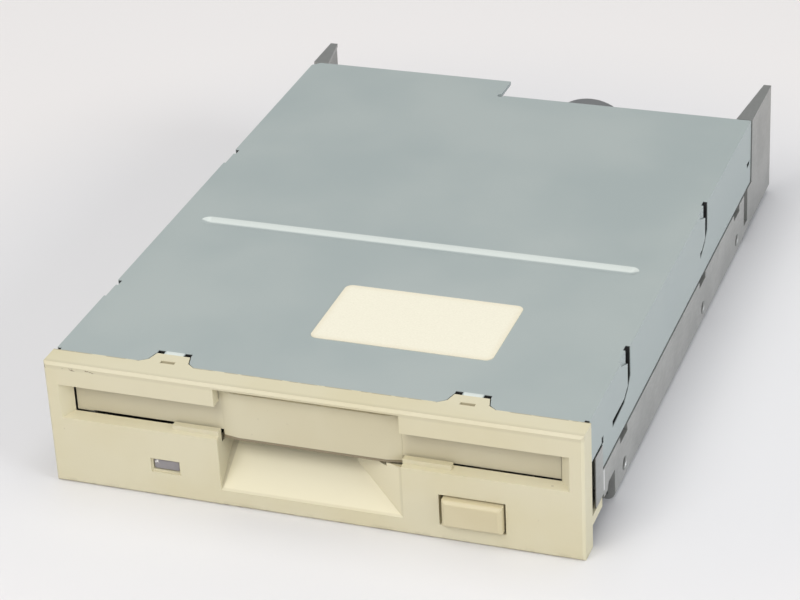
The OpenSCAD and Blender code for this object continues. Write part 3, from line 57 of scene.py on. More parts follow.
class Wire:
    """One socket of a finish. An expression on wires adds its Math nodes to the same finish."""

    def __init__(self, socket):
        self.socket = socket

    def add(self, kind, settings, sockets, out=0):
        """Adds a node of this kind, sets it up, feeds its sockets and gives back one of its outputs."""
        node = self.socket.id_data.nodes.new(kind)
        for name, value in settings.items():
            setattr(node, name, value)
        feed(node, sockets)
        return Wire(node.outputs[out])

    def maths(self, operation, *values):
        return self.add("ShaderNodeMath", {"operation": operation}, dict(enumerate(values)))

    def vector(self, operation, other=(0, 0, 0), out=0):
        return self.add("ShaderNodeVectorMath", {"operation": operation}, {0: self, 1: other}, out)

    def __add__(self, other):
        return self.maths("ADD", self, other)

    def __sub__(self, other):
        return self.maths("SUBTRACT", self, other)

    def __rsub__(self, other):
        return self.maths("SUBTRACT", other, self)

    def __mul__(self, other):
        return self.maths("MULTIPLY", self, other)

    def __abs__(self):
        return self.maths("ABSOLUTE", self)

    __radd__ = __add__
    __rmul__ = __mul__

    def over(self, low, high):
        """Rises smoothly from 0 at low to 1 at high."""
        settings = {"interpolation_type": "SMOOTHSTEP"}
        return self.add("ShaderNodeMapRange", settings, {"Value": self, "From Min": low, "From Max": high})

    def under(self, low, high):
        """Falls smoothly from 1 at low to 0 at high."""
        return 1 - self.over(low, high)

    def off_middle(self, pitch):
        """Distance from the middle of a cell, in cells of this pitch."""
        cells = self * (1 / pitch)
        return cells.maths("FRACT", cells) - 0.5

    def shade(self, low, high):
        """Colour low where the wire is 0 and high where it is 1."""
        low, high = [end if isinstance(end, Wire) else (*end, 1.0) for end in (low, high)]
        return self.add("ShaderNodeMix", {"data_type": "RGBA"}, {0: self, 6: low, 7: high}, 2)

    def scaled(self, x, y, z):
        return self.vector("MULTIPLY", (x, y, z))

    def length(self):
        return self.vector("LENGTH", out="Value")

    def along(self, axis):
        return self.add("ShaderNodeSeparateXYZ", {}, {0: self}, axis)

    def noise(self, scale, detail=2.0):
        return self.add("ShaderNodeTexNoise", {}, {"Vector": self, "Scale": scale, "Detail": detail})

    def bump(self, depth):
        """Surface relief of this depth in millimetres."""
        return self.add("ShaderNodeBump", {}, {"Height": self, "Distance": depth * MM, "Strength": 1.0})


def feed(node, sockets):
    """Gives each named socket of a node its wire or its fixed value."""
    for name, value in sockets.items():
        if isinstance(value, Wire):
            node.id_data.links.new(value.socket, node.inputs[name])
        else:
            node.inputs[name].default_value = value


def drive_place(finish):
    """A wire of places on the drive in millimetres."""
    place = Wire(finish.node_tree.nodes.new("ShaderNodeTexCoord").outputs["Object"])
    return place.scaled(1 / MM, 1 / MM, 1 / MM)


def new_finish(name):
    finish = bpy.data.materials.new(name)
    finish.use_nodes = True
    return finish, drive_place(finish)


def set_finish(finish, sockets):
    feed(finish.node_tree.nodes["Principled BSDF"], sockets)
    return finish


def metal_finish(name, dull, bright, rough, spread, rolled=(1.0, 1.0, 1.0), metallic=0.9):
    """Metal with rolling marks, duller patches and a fine surface."""
    finish, place = new_finish(name)
    marks = place.scaled(*rolled).noise(1.6, 4.0)
    patches = place.noise(0.08, 4.0)
    clean = (marks * 0.3 + patches * 0.7).over(0.3, 0.7)
    specks = place.noise(2.6, 3.0).over(0.66, 0.74)
    return set_finish(finish, {
        "Base Color": (clean * (1 - 0.35 * specks)).shade(dull, bright),
        "Roughness": rough + spread * (1 - clean),
        "Metallic": metallic,
        "Normal": (marks + 0.5 * place.noise(5.0)).bump(0.006),
    })


def reworked(node):
    """A node's solid as an editable shape in millimetres, with its flat faces whole."""
    shape = bmesh.new()
    shape.from_mesh(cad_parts[node].data)
    bmesh.ops.scale(shape, vec=(1 / MM, 1 / MM, 1 / MM), verts=shape.verts)
    bmesh.ops.remove_doubles(shape, verts=shape.verts, dist=0.002)
    bmesh.ops.dissolve_limit(shape, angle_limit=math.radians(0.6), use_dissolve_boundaries=False,
                             verts=shape.verts, edges=shape.edges)
    return shape


def round_edges(shape, width, segments=2, least=0.5, angle=30):
    """Rounds the edges sharper than the angle and longer than the least length."""
    shape.normal_update()
    chosen = []
    for edge in shape.edges:
        if len(edge.link_faces) == 2 and edge.calc_length() > least:
            if math.degrees(edge.calc_face_angle()) > angle:
                chosen.append(edge)
    bmesh.ops.bevel(shape, geom=chosen, offset=width, offset_type="OFFSET", segments=segments,
                    profile=0.5, affect="EDGES", clamp_overlap=True)
    return shape


def make(name, shape, finish, slot, body, *nodes):
    """Turns a shape in millimetres into a piece in place of its nodes, riding on a body if one is given."""
    bmesh.ops.recalc_face_normals(shape, faces=shape.faces)
    if shape.calc_volume(signed=True) < 0:
        bmesh.ops.reverse_faces(shape, faces=shape.faces)
    bmesh.ops.scale(shape, vec=(MM, MM, MM), verts=shape.verts)
    mesh = bpy.data.meshes.new(name)
    shape.to_mesh(mesh)
    shape.free()
    mesh.materials.append(finish)
    mesh.shade_smooth()
    mesh.set_sharp_from_angle(angle=math.radians(40))
    piece = bpy.data.objects.new(name, mesh)
    bpy.context.scene.collection.objects.link(piece)
    piece.modifiers.new("even_shading", "WEIGHTED_NORMAL").keep_sharp = True
    if body:
        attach(piece, body)
    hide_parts(*nodes)
    return piece


def make_rounded(name, node, width, finish, slot, body, segments=2, least=0.5):
    """Makes a piece of a node's own solid, with rounded edges."""
    make(name, round_edges(reworked(node), width, segments, least), finish, slot, body, node)


def round_hole_rims(shape, width):
    """Rounds the outer rims of the three mounting holes in a rail."""
    holes_y = (-46.35, 13.65, 43.65)
    hole_z = 3.7
    hole_r = 1.25
    rail_face = max(abs(vert.co.x) for vert in shape.verts) - 0.01
    rims = []
    for edge in shape.edges:
        if all(abs(vert.co.x) > rail_face for vert in edge.verts):
            for hole_y in holes_y:
                reaches = [math.hypot(vert.co.y - hole_y, vert.co.z - hole_z) for vert in edge.verts]
                if all(abs(reach - hole_r) < 0.05 for reach in reaches):
                    rims.append(edge)
    bmesh.ops.bevel(shape, geom=rims, offset=width, offset_type="OFFSET", segments=3, profile=0.5,
                    affect="EDGES", clamp_overlap=False)
    return shape


def zinc_finish(name):
    return metal_finish(name, (0.39, 0.39, 0.375), (0.47, 0.47, 0.45), 0.38, 0.12,
                        rolled=(1.0, 0.3, 1.0), metallic=0.75)


def rail_finish():
    """Zinc plate with a painted highlight on the fold at the rail's front end, and darker on the rear fins.
    """
    fold_y = -60.55
    fold_w = 0.45
    fold_low = 6.3
    fold_high = 11.0
    fold_x = 50.4
    fins_start = 50
    fins_darkest = 58
    finish = zinc_finish("zinc_rail")
    plate = Wire(finish.node_tree.nodes["Principled BSDF"].inputs["Base Color"].links[0].from_socket)
    place = drive_place(finish)
    along = place.along("Y")
    height = place.along("Z")
    # Painted highlight: a pale strip on the fold where the front tab leaves the rail.
    fold_highlight = along.over(fold_y - 0.1, fold_y) * along.under(fold_y + fold_w, fold_y + fold_w + 0.15)
    fold_highlight = fold_highlight * height.over(fold_low, fold_low + 0.5) * height.under(fold_high - 0.4, fold_high)
    fold_highlight = fold_highlight * abs(place.along("X")).over(fold_x, fold_x + 0.1)
    # The zinc colour turns darker towards the rear fins.
    darker_fins = (0.35 * along.over(fins_start, fins_darkest)).shade(plate, (0.25, 0.25, 0.24))
    return set_finish(finish, {"Base Color": (0.85 * fold_highlight).shade(darker_fins, (0.92, 0.92, 0.91))})


zinc = zinc_finish("zinc_plate")
rail_zinc = rail_finish()
hole_rim = 0.35
side_round = 0.14
for name, node in (("chassis_right_side", "chassis_right"), ("chassis_left_side", "chassis_left")):
    side = round_edges(round_hole_rims(reworked(node), hole_rim), side_round)
    make(name, side, rail_zinc, "zinc_sheet", "frame", node)
for name, node in (("chassis_floor_plate", "chassis_floor"), ("slide_spring_anchors", "spring_anchors")):
    make_rounded(name, node, 0.1, zinc, "zinc_sheet", "frame")

# Spindle bearing: a sintered bronze bush with a flange that stands on the motor board. It is pressed into
# the chassis floor, so it carries both the board and the wound stator.
bronze = metal_finish("sintered_bronze", (0.36, 0.24, 0.10), (0.55, 0.39, 0.18), 0.34, 0.2)
make_rounded("spindle_bearing_bush", "spindle_bearing", 0.15, bronze, "bronze", "frame")


# Motor board: the spindle motor's circuit board, green solder mask over etched copper on glass fibre.
# It lies on the chassis floor round the bearing.
def board_finish(name):
    """Green solder mask over copper tracks, with plated holes here and there."""
    finish, place = new_finish(name)
    track_pitch = 1.27
    hole_pitch = 2.54
    track_half = 0.14
    bare_share = 0.3
    undrilled_share = 0.82

    def lot(x, y):
        """A random number for each cell of this size."""
        return place.add("ShaderNodeTexWhiteNoise", {}, {"Vector": place.vector("SNAP", (x, y, 100))})

    lines = []
    offsets = []
    for axis in ("X", "Y"):
        lines.append(abs(place.along(axis).off_middle(track_pitch)).under(track_half, track_half + 0.06))
        offsets.append(place.along(axis).off_middle(hole_pitch))
    turned_over = lot(7.0, 9.0).over(0.49, 0.51)
    laid = lot(3.5, 3.0).over(bare_share, bare_share + 0.01)
    tracks = (lines[0] * turned_over + lines[1] * (1 - turned_over)) * laid
    off_centre = offsets[0] * offsets[0] + offsets[1] * offsets[1]
    drilled = lot(hole_pitch, hole_pitch).over(undrilled_share, undrilled_share + 0.01)
    pads = off_centre.under(0.045, 0.06) * drilled
    weave = place.noise(3.0, 3.0)
    mask = tracks.shade((0.015, 0.085, 0.035), (0.035, 0.155, 0.06))
    return set_finish(finish, {
        "Base Color": pads.shade(mask, (0.62, 0.61, 0.57)),
        "Metallic": 0.9 * pads,
        "Roughness": 0.28 + 0.15 * weave,
        "Normal": (tracks + pads + 0.1 * weave).bump(0.03),
    })


board_green = board_finish("board_green")
make_rounded("motor_board_plate", "motor_board", 0.06, board_green, "board_green", "frame", 1)

# Screws: pan heads with a cross recess, in bright zinc-plated steel. They hold the motor board, the guide
# rod's clamps, the stepper motor and the main board.
screw_metal = metal_finish("screw_zinc", (0.42, 0.41, 0.37), (0.66, 0.65, 0.60), 0.26, 0.16)


def lumps(node):
    """Lowest and highest corners, in millimetres, of each separate solid in a node."""
    shape = reworked(node)
    seen = set()
    boxes = []
    for first in shape.verts:
        if first in seen:
            continue
        seen.add(first)
        reached = [first]
        for vert in reached:
            for edge in vert.link_edges:
                other = edge.other_vert(vert)
                if other not in seen:
                    seen.add(other)
                    reached.append(other)
        places = [vert.co for vert in reached]
        low = Vector([min(place[axis] for place in places) for axis in range(3)])
        high = Vector([max(place[axis] for place in places) for axis in range(3)])
        boxes.append((low, high))
    shape.free()
    return boxes


def block(shape, low, high):
    """Adds a box between two corners."""
    middle = Matrix.Translation((Vector(low) + Vector(high)) / 2)
    size = Matrix.Diagonal((Vector(high) - Vector(low)).to_4d())
    return bmesh.ops.create_cube(shape, size=1.0, matrix=middle @ size)["verts"]


def turned(shape, profile, foot, direction, steps=48):
    """Adds a turned solid from (radius, height) pairs that start and end on its axis."""
    turn = Vector(direction).to_track_quat("Z", "X").to_matrix()
    rings = []
    for radius, height in profile:
        ring = []
        for step in range(steps if radius > 0 else 1):
            angle = step * math.tau / steps
            corner = Vector((radius * math.cos(angle), radius * math.sin(angle), height))
            ring.append(shape.verts.new(Vector(foot) + turn @ corner))
        rings.append(ring)
    for low, high in zip(rings, rings[1:]):
        for step in range(steps):
            after = step + 1
            corners = [low[step % len(low)], low[after % len(low)], high[after % len(high)],
                       high[step % len(high)]]
            shape.faces.new(list(dict.fromkeys(corners)))


def carved(work, tool, how="DIFFERENCE"):
    """The work shape with the tool shape cut from it or joined to it."""
    solids = []
    for part in (work, tool):
        mesh = bpy.data.meshes.new("carving")
        bmesh.ops.recalc_face_normals(part, faces=part.faces)
        part.to_mesh(mesh)
        part.free()
        solids.append(bpy.data.objects.new("carving", mesh))
        bpy.context.scene.collection.objects.link(solids[-1])
    cut = solids[0].modifiers.new("cut", "BOOLEAN")
    cut.operation = how
    cut.solver = "EXACT"
    cut.object = solids[1]
    result = bmesh.new()
    result.from_object(solids[0], bpy.context.evaluated_depsgraph_get())
    for solid in solids:
        mesh = solid.data
        bpy.data.objects.remove(solid)
        bpy.data.meshes.remove(mesh)
    return result


def screws(name, node, direction, head_h, shank_r):
    """Cross-head screws in place of a node's plain ones; direction points out of the heads."""
    recess_reach = 0.6
    recess_half = 0.17
    recess_foot = 0.35
    out = Vector(direction)
    shape = bmesh.new()
    slots = [bmesh.new(), bmesh.new()]
    for low, high in lumps(node):
        middle = (low + high) / 2
        length = abs((high - low).dot(out))
        head_r = max(abs(side) for side in (high - low) - out * (high - low).dot(out)) / 2
        seat = middle + out * (length / 2 - head_h)
        turned(shape, [
            (0, head_h - length), (0.6 * shank_r, head_h - length), (shank_r, 0.5 + head_h - length),
            (shank_r, 0), (head_r, 0), (head_r, 0.4 * head_h), (0.92 * head_r, 0.72 * head_h),
            (0.7 * head_r, 0.93 * head_h), (0.4 * head_r, head_h), (0, head_h)
        ], seat, out, 32)
        turn = out.to_track_quat("Z", "X").to_matrix().to_4x4()
        foot = Vector((0, 0, recess_foot * head_h))
        above = Vector((0, 0, head_h + 1))
        for slot, (wide, narrow) in zip(slots, ((recess_reach, recess_half), (recess_half, recess_reach))):
            corner = Vector((wide * head_r, narrow * head_r, 0))
            verts = block(slot, foot - corner, above + corner)
            bmesh.ops.transform(slot, matrix=Matrix.Translation(seat) @ turn, verts=verts)
    make(name, carved(carved(shape, slots[0]), slots[1]), screw_metal, "screw_steel", "frame", node)


screws("motor_board_screw_set", "motor_board_screws", (0, 0, 1), head_h=0.8, shank_r=0.95)


# Stator: a stack of silicon steel laminations with twelve teeth, each wound with one layer of enamelled
# copper wire. It sits on the bearing's flange.
def span(node):
    """Lowest and highest corners of a node in millimetres."""
    low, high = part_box(node)
    return low / MM, high / MM


stator_low, stator_high = span("stator_core")
stator_middle = (stator_low + stator_high) / 2


def lamination_finish():
    finish, place = new_finish("stator_laminations")
    sheets = place.scaled(0.05, 0.05, 4.0).noise(1.0, 1.0)
    return set_finish(finish, {
        "Base Color": sheets.over(0.35, 0.65).shade((0.16, 0.16, 0.17), (0.34, 0.34, 0.36)),
        "Roughness": 0.4 + 0.15 * place.noise(2.0),
        "Metallic": 0.8,
        "Normal": sheets.bump(0.03),
    })


make("stator_lamination_stack", reworked("stator_core"), lamination_finish(), "stator_steel", "frame",
     "stator_core")


def loft(shape, rings):
    """Adds a closed skin over rings of points that all have the same count."""
    skin = [[shape.verts.new(point) for point in ring] for ring in rings]
    for low, high in zip(skin, skin[1:]):
        for step in range(len(low)):
            after = (step + 1) % len(low)
            shape.faces.new((low[step], low[after], high[after], high[step]))
    shape.faces.new(skin[0])
    shape.faces.new(skin[-1])


def sweep(shape, points, radius, sides=6):
    """Adds a round wire along points."""
    rings = []
    side = None
    for index, point in enumerate(points):
        heading = points[min(index + 1, len(points) - 1)] - points[max(index - 1, 0)]
        heading.normalize()
        if side is None:
            side = heading.orthogonal()
        side = (side - heading * side.dot(heading)).normalized()
        other = heading.cross(side)
        angles = [step * math.tau / sides for step in range(sides)]
        rings.append([point + radius * (math.cos(angle) * side + math.sin(angle) * other)
                      for angle in angles])
    loft(shape, rings)


def wound_coils():
    coil_start = 11.3
    coil_end = 19.8
    half_w = 1.5
    half_h = 1.04
    bend = 0.25
    turns = 20
    wire_r = 0.2
    loop = []
    for side, top in ((1, -1), (1, 1), (-1, 1), (-1, -1)):
        bends = [(side * half_w, top * (half_h - bend)), (side * (half_w - bend), top * half_h)]
        loop += bends if side == top else bends[::-1]
    shape = bmesh.new()
    for low, high in lumps("stator_coils"):
        out = ((low + high) / 2 - stator_middle) * Vector((1, 1, 0))
        out.normalize()
        across = Vector((-out.y, out.x, 0))
        points = []
        for step in range(turns * len(loop)):
            wide, tall = loop[step % len(loop)]
            reach = coil_start + (coil_end - coil_start) * step / (turns * len(loop))
            points.append(stator_middle + out * reach + across * wide + Vector((0, 0, tall)))
        sweep(shape, points, wire_r)
    return shape


def copper_finish():
    finish, place = new_finish("enamelled_copper")
    lacquer = place.noise(1.5, 3.0)
    return set_finish(finish, {
        "Base Color": lacquer.over(0.3, 0.7).shade((0.45, 0.16, 0.05), (0.66, 0.28, 0.10)),
        "Roughness": 0.2 + 0.15 * lacquer,
        "Metallic": 0.85,
    })


make("stator_winding", wound_coils(), copper_finish(), "copper_wire", "frame", "stator_coils")

# Rotor: a cup of bright pressed steel with a ferrite ring glued inside, a hub, a shaft and a drive pin.
# They turn together; the hub takes the disk's centre plate and the pin drives it.
rotor_low, rotor_high = span("rotor_cup")
spindle_at = (rotor_low + rotor_high) / 2


def spun_finish(name, dull, bright, rough):
    """Metal turned on the spindle's axis, with fine rings."""
    finish, place = new_finish(name)
    reach = place.vector("SUBTRACT", (spindle_at.x, spindle_at.y, 0)).scaled(1, 1, 0).length()
    rings = place.add("ShaderNodeTexNoise", {"noise_dimensions": "1D"}, {"W": reach, "Scale": 6.0})
    patches = place.noise(0.12, 3.0)
    clean = (0.5 * rings + 0.5 * patches).over(0.35, 0.65)
    return set_finish(finish, {
        "Base Color": clean.shade(dull, bright),
        "Roughness": rough + 0.14 * (1 - clean),
        "Metallic": 0.95,
        "Normal": rings.bump(0.01),
    })


def ferrite_finish():
    finish, place = new_finish("ferrite")
    grain = place.noise(4.0, 4.0)
    return set_finish(finish, {
        "Base Color": grain.over(0.3, 0.7).shade((0.035, 0.035, 0.038), (0.075, 0.073, 0.075)),
        "Roughness": 0.6 + 0.2 * grain,
        "Normal": grain.bump(0.03),
    })


spun_steel = spun_finish("spun_steel", (0.44, 0.44, 0.43), (0.66, 0.66, 0.64), 0.24)
ground_steel = metal_finish("ground_steel", (0.56, 0.56, 0.56), (0.72, 0.72, 0.72), 0.16, 0.1,
                            rolled=(4.0, 0.3, 4.0), metallic=1.0)
make_rounded("rotor_cup_shell", "rotor_cup", 0.3, spun_steel, "bright_sheet", "spindle", 3)
make_rounded("rotor_magnet_ring", "ring_magnet", 0.12, ferrite_finish(), "ferrite", "spindle")
make_rounded("spindle_hub_disc", "spindle_hub", 0.3, spun_steel, "bright_sheet", "spindle", 3)
make_rounded("spindle_shaft_rod", "spindle_shaft", 0.45, ground_steel, "ground_steel", "spindle", 3, 0.1)
make_rounded("spindle_drive_pin", "drive_pin", 0.4, ground_steel, "ground_steel", "spindle", 3, 0.1)

# Guide rod: a ground steel rod that lies in two posts of the chassis. A sprung clamp, cut from bright sheet,
# holds each end with one screw.
bright_sheet = metal_finish("bright_sheet", (0.46, 0.46, 0.45), (0.64, 0.64, 0.62), 0.26, 0.16,
                            rolled=(0.06, 1.0, 1.0))
make_rounded("head_guide_rod", "guide_rod", 0.25, ground_steel, "ground_steel", "frame", least=0.1)
make_rounded("guide_rod_clamps", "rod_clamps", 0.08, bright_sheet, "bright_sheet", "frame")
screws("guide_rod_clamp_screws", "rod_clamp_screws", (0, 0, 1), head_h=0.6, shank_r=0.65)

# Stepper motor: a drawn steel can, closed by an end plate that is crimped in, on a flange with two ears. It
# is screwed to the rear wall of the chassis floor and turns the lead screw.
stepper_low, stepper_high = span("stepper_motor")
stepper_axis = (stepper_low + stepper_high) / 2
can_r = (stepper_high.z - stepper_low.z) / 2
pilot_l = 0.9
flange_t = 1.0
ear_r = 2.0
ear_hole_r = 1.2
pilot_r = 3.3
shaft_bore_r = 1.62
shaft_bore_l = 5.9


def stepper_can():
    can_l = stepper_high.y - stepper_low.y - pilot_l
    face = Vector((stepper_axis.x, stepper_low.y + pilot_l, stepper_axis.z))
    ear_at = stepper_high.x - stepper_axis.x - ear_r
    draw_r = 0.4
    groove_at = can_l / 2
    groove_half = 0.5
    groove_floor = can_r - 0.25
    crimp = 0.7
    crimp_in = can_r - 1.3
    end_plate = can_l - 0.4
    boss_r = 3.4
    boss_top = can_l - 0.05
    dimple_r = 1.3
    dimple_foot = can_l - 0.5
    can = bmesh.new()
    turned(can, [
        (0, shaft_bore_l), (shaft_bore_r, shaft_bore_l), (shaft_bore_r, -pilot_l), (pilot_r, -pilot_l),
        (pilot_r, 0), (can_r - draw_r, 0), (can_r, draw_r), (can_r, groove_at - groove_half),
        (groove_floor, groove_at - groove_half + 0.2), (groove_floor, groove_at + groove_half - 0.2),
        (can_r, groove_at + groove_half), (can_r, can_l - crimp), (can_r - 0.2, can_l - 0.2),
        (can_r - crimp, can_l), (crimp_in, can_l), (crimp_in - 0.2, end_plate), (boss_r, end_plate),
        (boss_r - 0.3, boss_top), (dimple_r, boss_top), (dimple_r - 0.2, dimple_foot), (0, dimple_foot)
    ], face, (0, 1, 0), 64)
    ear_steps = 24
    seat_gap = 0.03
    outline = []
    holes = bmesh.new()
    for side in (1, -1):
        for step in range(ear_steps + 1):
            angle = math.pi * (step / ear_steps - 0.5)
            outline.append((side * (ear_at + ear_r * math.cos(angle)), side * ear_r * math.sin(angle)))
        turned(holes, [(0, -1), (ear_hole_r, -1), (ear_hole_r, 3), (0, 3)],
               face + Vector((side * ear_at, 0, 0)), (0, 1, 0), 32)
    flange = bmesh.new()
    loft(flange, [[face + Vector((x, y, z)) for x, z in outline] for y in (seat_gap, flange_t)])
    return carved(can, round_edges(carved(flange, holes), 0.1, 1, least=2), "UNION")


can_steel = metal_finish("stepper_can_steel", (0.34, 0.34, 0.34), (0.50, 0.50, 0.50), 0.3, 0.18,
                         rolled=(0.3, 2.0, 0.3))
make("stepper_motor_can", stepper_can(), can_steel, "can_steel", "frame", "stepper_motor")
screws("stepper_motor_screws", "stepper_screws", (0, 1, 0), head_h=1.0, shank_r=0.95)

# Lead screw: the stepper's own shaft, ground with one helical groove. Its front end runs in a small bracket
# that is screwed to the chassis floor.
screw_low, screw_high = span("lead_screw")
screw_axis = (screw_low + screw_high) / 2


def threaded_shaft():
    lead = 3.75
    groove = 0.42
    groove_half = 0.16
    journal_r = 1.0
    thread_r = (screw_high.z - screw_low.z) / 2
    shaft_r = thread_r - 0.2
    journal_l = 3.0
    plain_l = 7.6
    front_bevel = 0.2
    rear_bevel = 0.3
    runout = 0.2
    ring_step = 0.18
    steps = 32
    sections = []
    for height, radius in ((0, journal_r - front_bevel), (front_bevel, journal_r), (journal_l, journal_r)):
        sections.append((screw_low.y + height, radius, 0))
    thread_start = screw_low.y + journal_l
    thread_l = screw_high.y - plain_l - thread_start
    for ring in range(int(thread_l / ring_step) + 1):
        sections.append((thread_start + ring * ring_step, thread_r, groove))
    for height in (screw_high.y - plain_l + runout, screw_high.y - rear_bevel):
        sections.append((height, shaft_r, 0))
    sections.append((screw_high.y, shaft_r - rear_bevel, 0))
    rings = []
    for along, radius, cut in sections:
        ring = []
        for step in range(steps):
            angle = step * math.tau / steps
            phase = (along / lead - step / steps) % 1.0
            reach = radius - cut * max(0.0, 1 - abs(phase - 0.5) / groove_half)
            ring.append(Vector((screw_axis.x + reach * math.cos(angle), along,
                                screw_axis.z + reach * math.sin(angle))))
        rings.append(ring)
    shape = bmesh.new()
    loft(shape, rings)
    return shape


make("lead_screw_shaft", threaded_shaft(), ground_steel, "ground_steel", "screw", "lead_screw")
make_rounded("lead_screw_front_bracket", "lead_screw_bracket", 0.12, bright_sheet, "bright_sheet", "frame")


# Head carriage: black glass-filled plastic, moulded round a bore for the guide rod. Its needle runs in the
# lead screw's groove, and its tower carries the arm on a leaf of spring steel.
def moulded_finish(name, pale, aged, rough, relief=0.004):
    """Moulded plastic: aged patches, fine spark-eroded texture and a few dark specks."""
    finish, place = new_finish(name)
    patches = place.noise(0.05, 3.0).over(0.35, 0.68)
    fine = place.noise(7.0, 3.0)
    specks = place.noise(0.9, 1.0).over(0.79, 0.82)
    tone = patches.shade(pale, aged)
    set_finish(finish, {
        "Base Color": (0.3 * specks).shade(tone, [0.35 * part for part in aged]),
        "Roughness": rough + 0.1 * fine,
        "Normal": fine.bump(relief),
    })
    return finish, place, tone, specks


black_plastic = moulded_finish("black_plastic", (0.017, 0.017, 0.019), (0.03, 0.03, 0.032), 0.42, 0.012)[0]
make_rounded("head_carriage_frame", "head_carriage", 0.15, black_plastic, "black_plastic", "carriage")
make_rounded("upper_head_arm", "upper_arm", 0.2, black_plastic, "black_plastic", "arm")
spring_wire = metal_finish("spring_steel", (0.40, 0.40, 0.41), (0.60, 0.60, 0.61), 0.26, 0.15)
make_rounded("arm_hinge_spring_leaf", "arm_hinge_leaf", 0.05, spring_wire, "spring_steel", "carriage", 1)
make_rounded("lead_screw_needle", "lead_needle", 0.12, ground_steel, "screw_steel", "carriage", least=0.1)


# Heads: two sliders of lapped ceramic with a dark glass gap down the middle. One is glued to the carriage
# and the other to the arm.
def ceramic_finish():
    finish, place = new_finish("head_ceramic")
    gap_half = 0.12
    gap = abs(place.along("X")).under(gap_half, gap_half + 0.08)
    pores = place.noise(3.0, 3.0)
    lapped = pores.shade((0.30, 0.28, 0.25), (0.42, 0.40, 0.36))
    return set_finish(finish, {
        "Base Color": gap.shade(lapped, (0.02, 0.02, 0.025)),
        "Roughness": 0.14 + 0.12 * pores,
        "Normal": pores.bump(0.004),
    })


ceramic = ceramic_finish()
make_rounded("lower_head_slider", "lower_head", 0.3, ceramic, "ceramic", "carriage", 3)
make_rounded("upper_head_slider", "upper_head", 0.3, ceramic, "ceramic", "arm", 3)

# Head ribbon: amber polyimide film with copper tracks, from the carriage back over the edge of the floor and
# down to the main board. It gives as the carriage moves.
ribbon_low, ribbon_high = span("head_ribbon")


def ribbon_strip():
    film = 0.15
    bend_r = 1.4
    straight_steps = 24
    bend_steps = 8
    top = ribbon_high.z - film / 2
    rear = ribbon_high.y - film / 2
    path = []
    for step in range(straight_steps + 1):
        path.append((ribbon_low.y + (rear - bend_r - ribbon_low.y) * step / straight_steps, top, math.pi / 2))
    for step in range(1, bend_steps + 1):
        angle = math.pi / 2 * (1 - step / bend_steps)
        path.append((rear - bend_r * (1 - math.cos(angle)), top - bend_r * (1 - math.sin(angle)), angle))
    path.append((rear, ribbon_low.z, 0))
    rings = []
    for along, height, angle in path:
        outward = Vector((0, math.cos(angle), math.sin(angle))) * film / 2
        middle = Vector((0, along, height))
        left = Vector((ribbon_low.x, 0, 0))
        right = Vector((ribbon_high.x, 0, 0))
        rings.append([middle + left - outward, middle + right - outward, middle + right + outward,
                      middle + left + outward])
    shape = bmesh.new()
    loft(shape, rings)
    return shape


def film_finish():
    finish, place = new_finish("polyimide_film")
    track_pitch = 0.4
    tracks = abs(place.along("X").off_middle(track_pitch)).under(0.2, 0.27)
    haze = place.noise(0.8, 3.0)
    amber = haze.shade((0.40, 0.16, 0.025), (0.50, 0.22, 0.04))
    return set_finish(finish, {
        "Base Color": tracks.shade(amber, (0.62, 0.30, 0.09)),
        "Roughness": 0.22 + 0.1 * haze,
        "Metallic": 0.5 * tracks,
        "Normal": tracks.bump(0.02),
    })


ribbon = make("head_ribbon_strip", ribbon_strip(), film_finish(), "film", None, "head_ribbon")
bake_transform(ribbon)

# Sensor and switches: a forked light gate for track zero and three small push switches, in black plastic
# with white plungers that feel for the disk and its holes. They are soldered through to the boards.
make_rounded("track_zero_sensor", "track_sensor", 0.2, black_plastic, "black_plastic", "frame")
make_rounded("switch_housings", "switch_bodies", 0.2, black_plastic, "black_plastic", "frame")
white_plastic = moulded_finish("white_plastic", (0.76, 0.75, 0.70), (0.72, 0.69, 0.60), 0.35)[0]
dome_h = 0.7
for node, body in (("write_protect_plunger", "write_protect"), ("disk_in_plunger", "disk_in"),
                   ("density_plunger", "density")):
    plunger_low, plunger_high = span(node)
    plunger_r = (plunger_high.x - plunger_low.x) / 2
    plunger_l = plunger_high.z - plunger_low.z
    plunger = bmesh.new()
    turned(plunger, [
        (0, 0), (plunger_r, 0), (plunger_r, plunger_l - dome_h), (0.92 * plunger_r, plunger_l - dome_h / 2),
        (0.6 * plunger_r, plunger_l - 0.08), (0, plunger_l)
    ], ((plunger_low.x + plunger_high.x) / 2, (plunger_low.y + plunger_high.y) / 2, plunger_low.z),
        (0, 0, 1), 32)
    make(node + "_cap", plunger, white_plastic, "white_plastic", body, node)

# Main board: the control board under the chassis floor, with chips in black epoxy on gull-wing legs and two
# sleeved capacitors. Four screws hold it to posts of the floor.
make_rounded("main_board_plate", "main_board", 0.06, board_green, "board_green", "frame", 1)
screws("main_board_screw_set", "main_board_screws", (0, 0, -1), head_h=1.0, shank_r=1.1)


def chip_finish():
    finish, place = new_finish("chip_epoxy")
    grain = place.noise(6.0, 3.0)
    return set_finish(finish, {
        "Base Color": grain.shade((0.012, 0.012, 0.013), (0.035, 0.035, 0.036)),
        "Roughness": 0.5 + 0.15 * grain,
        "Normal": grain.bump(0.01),
    })


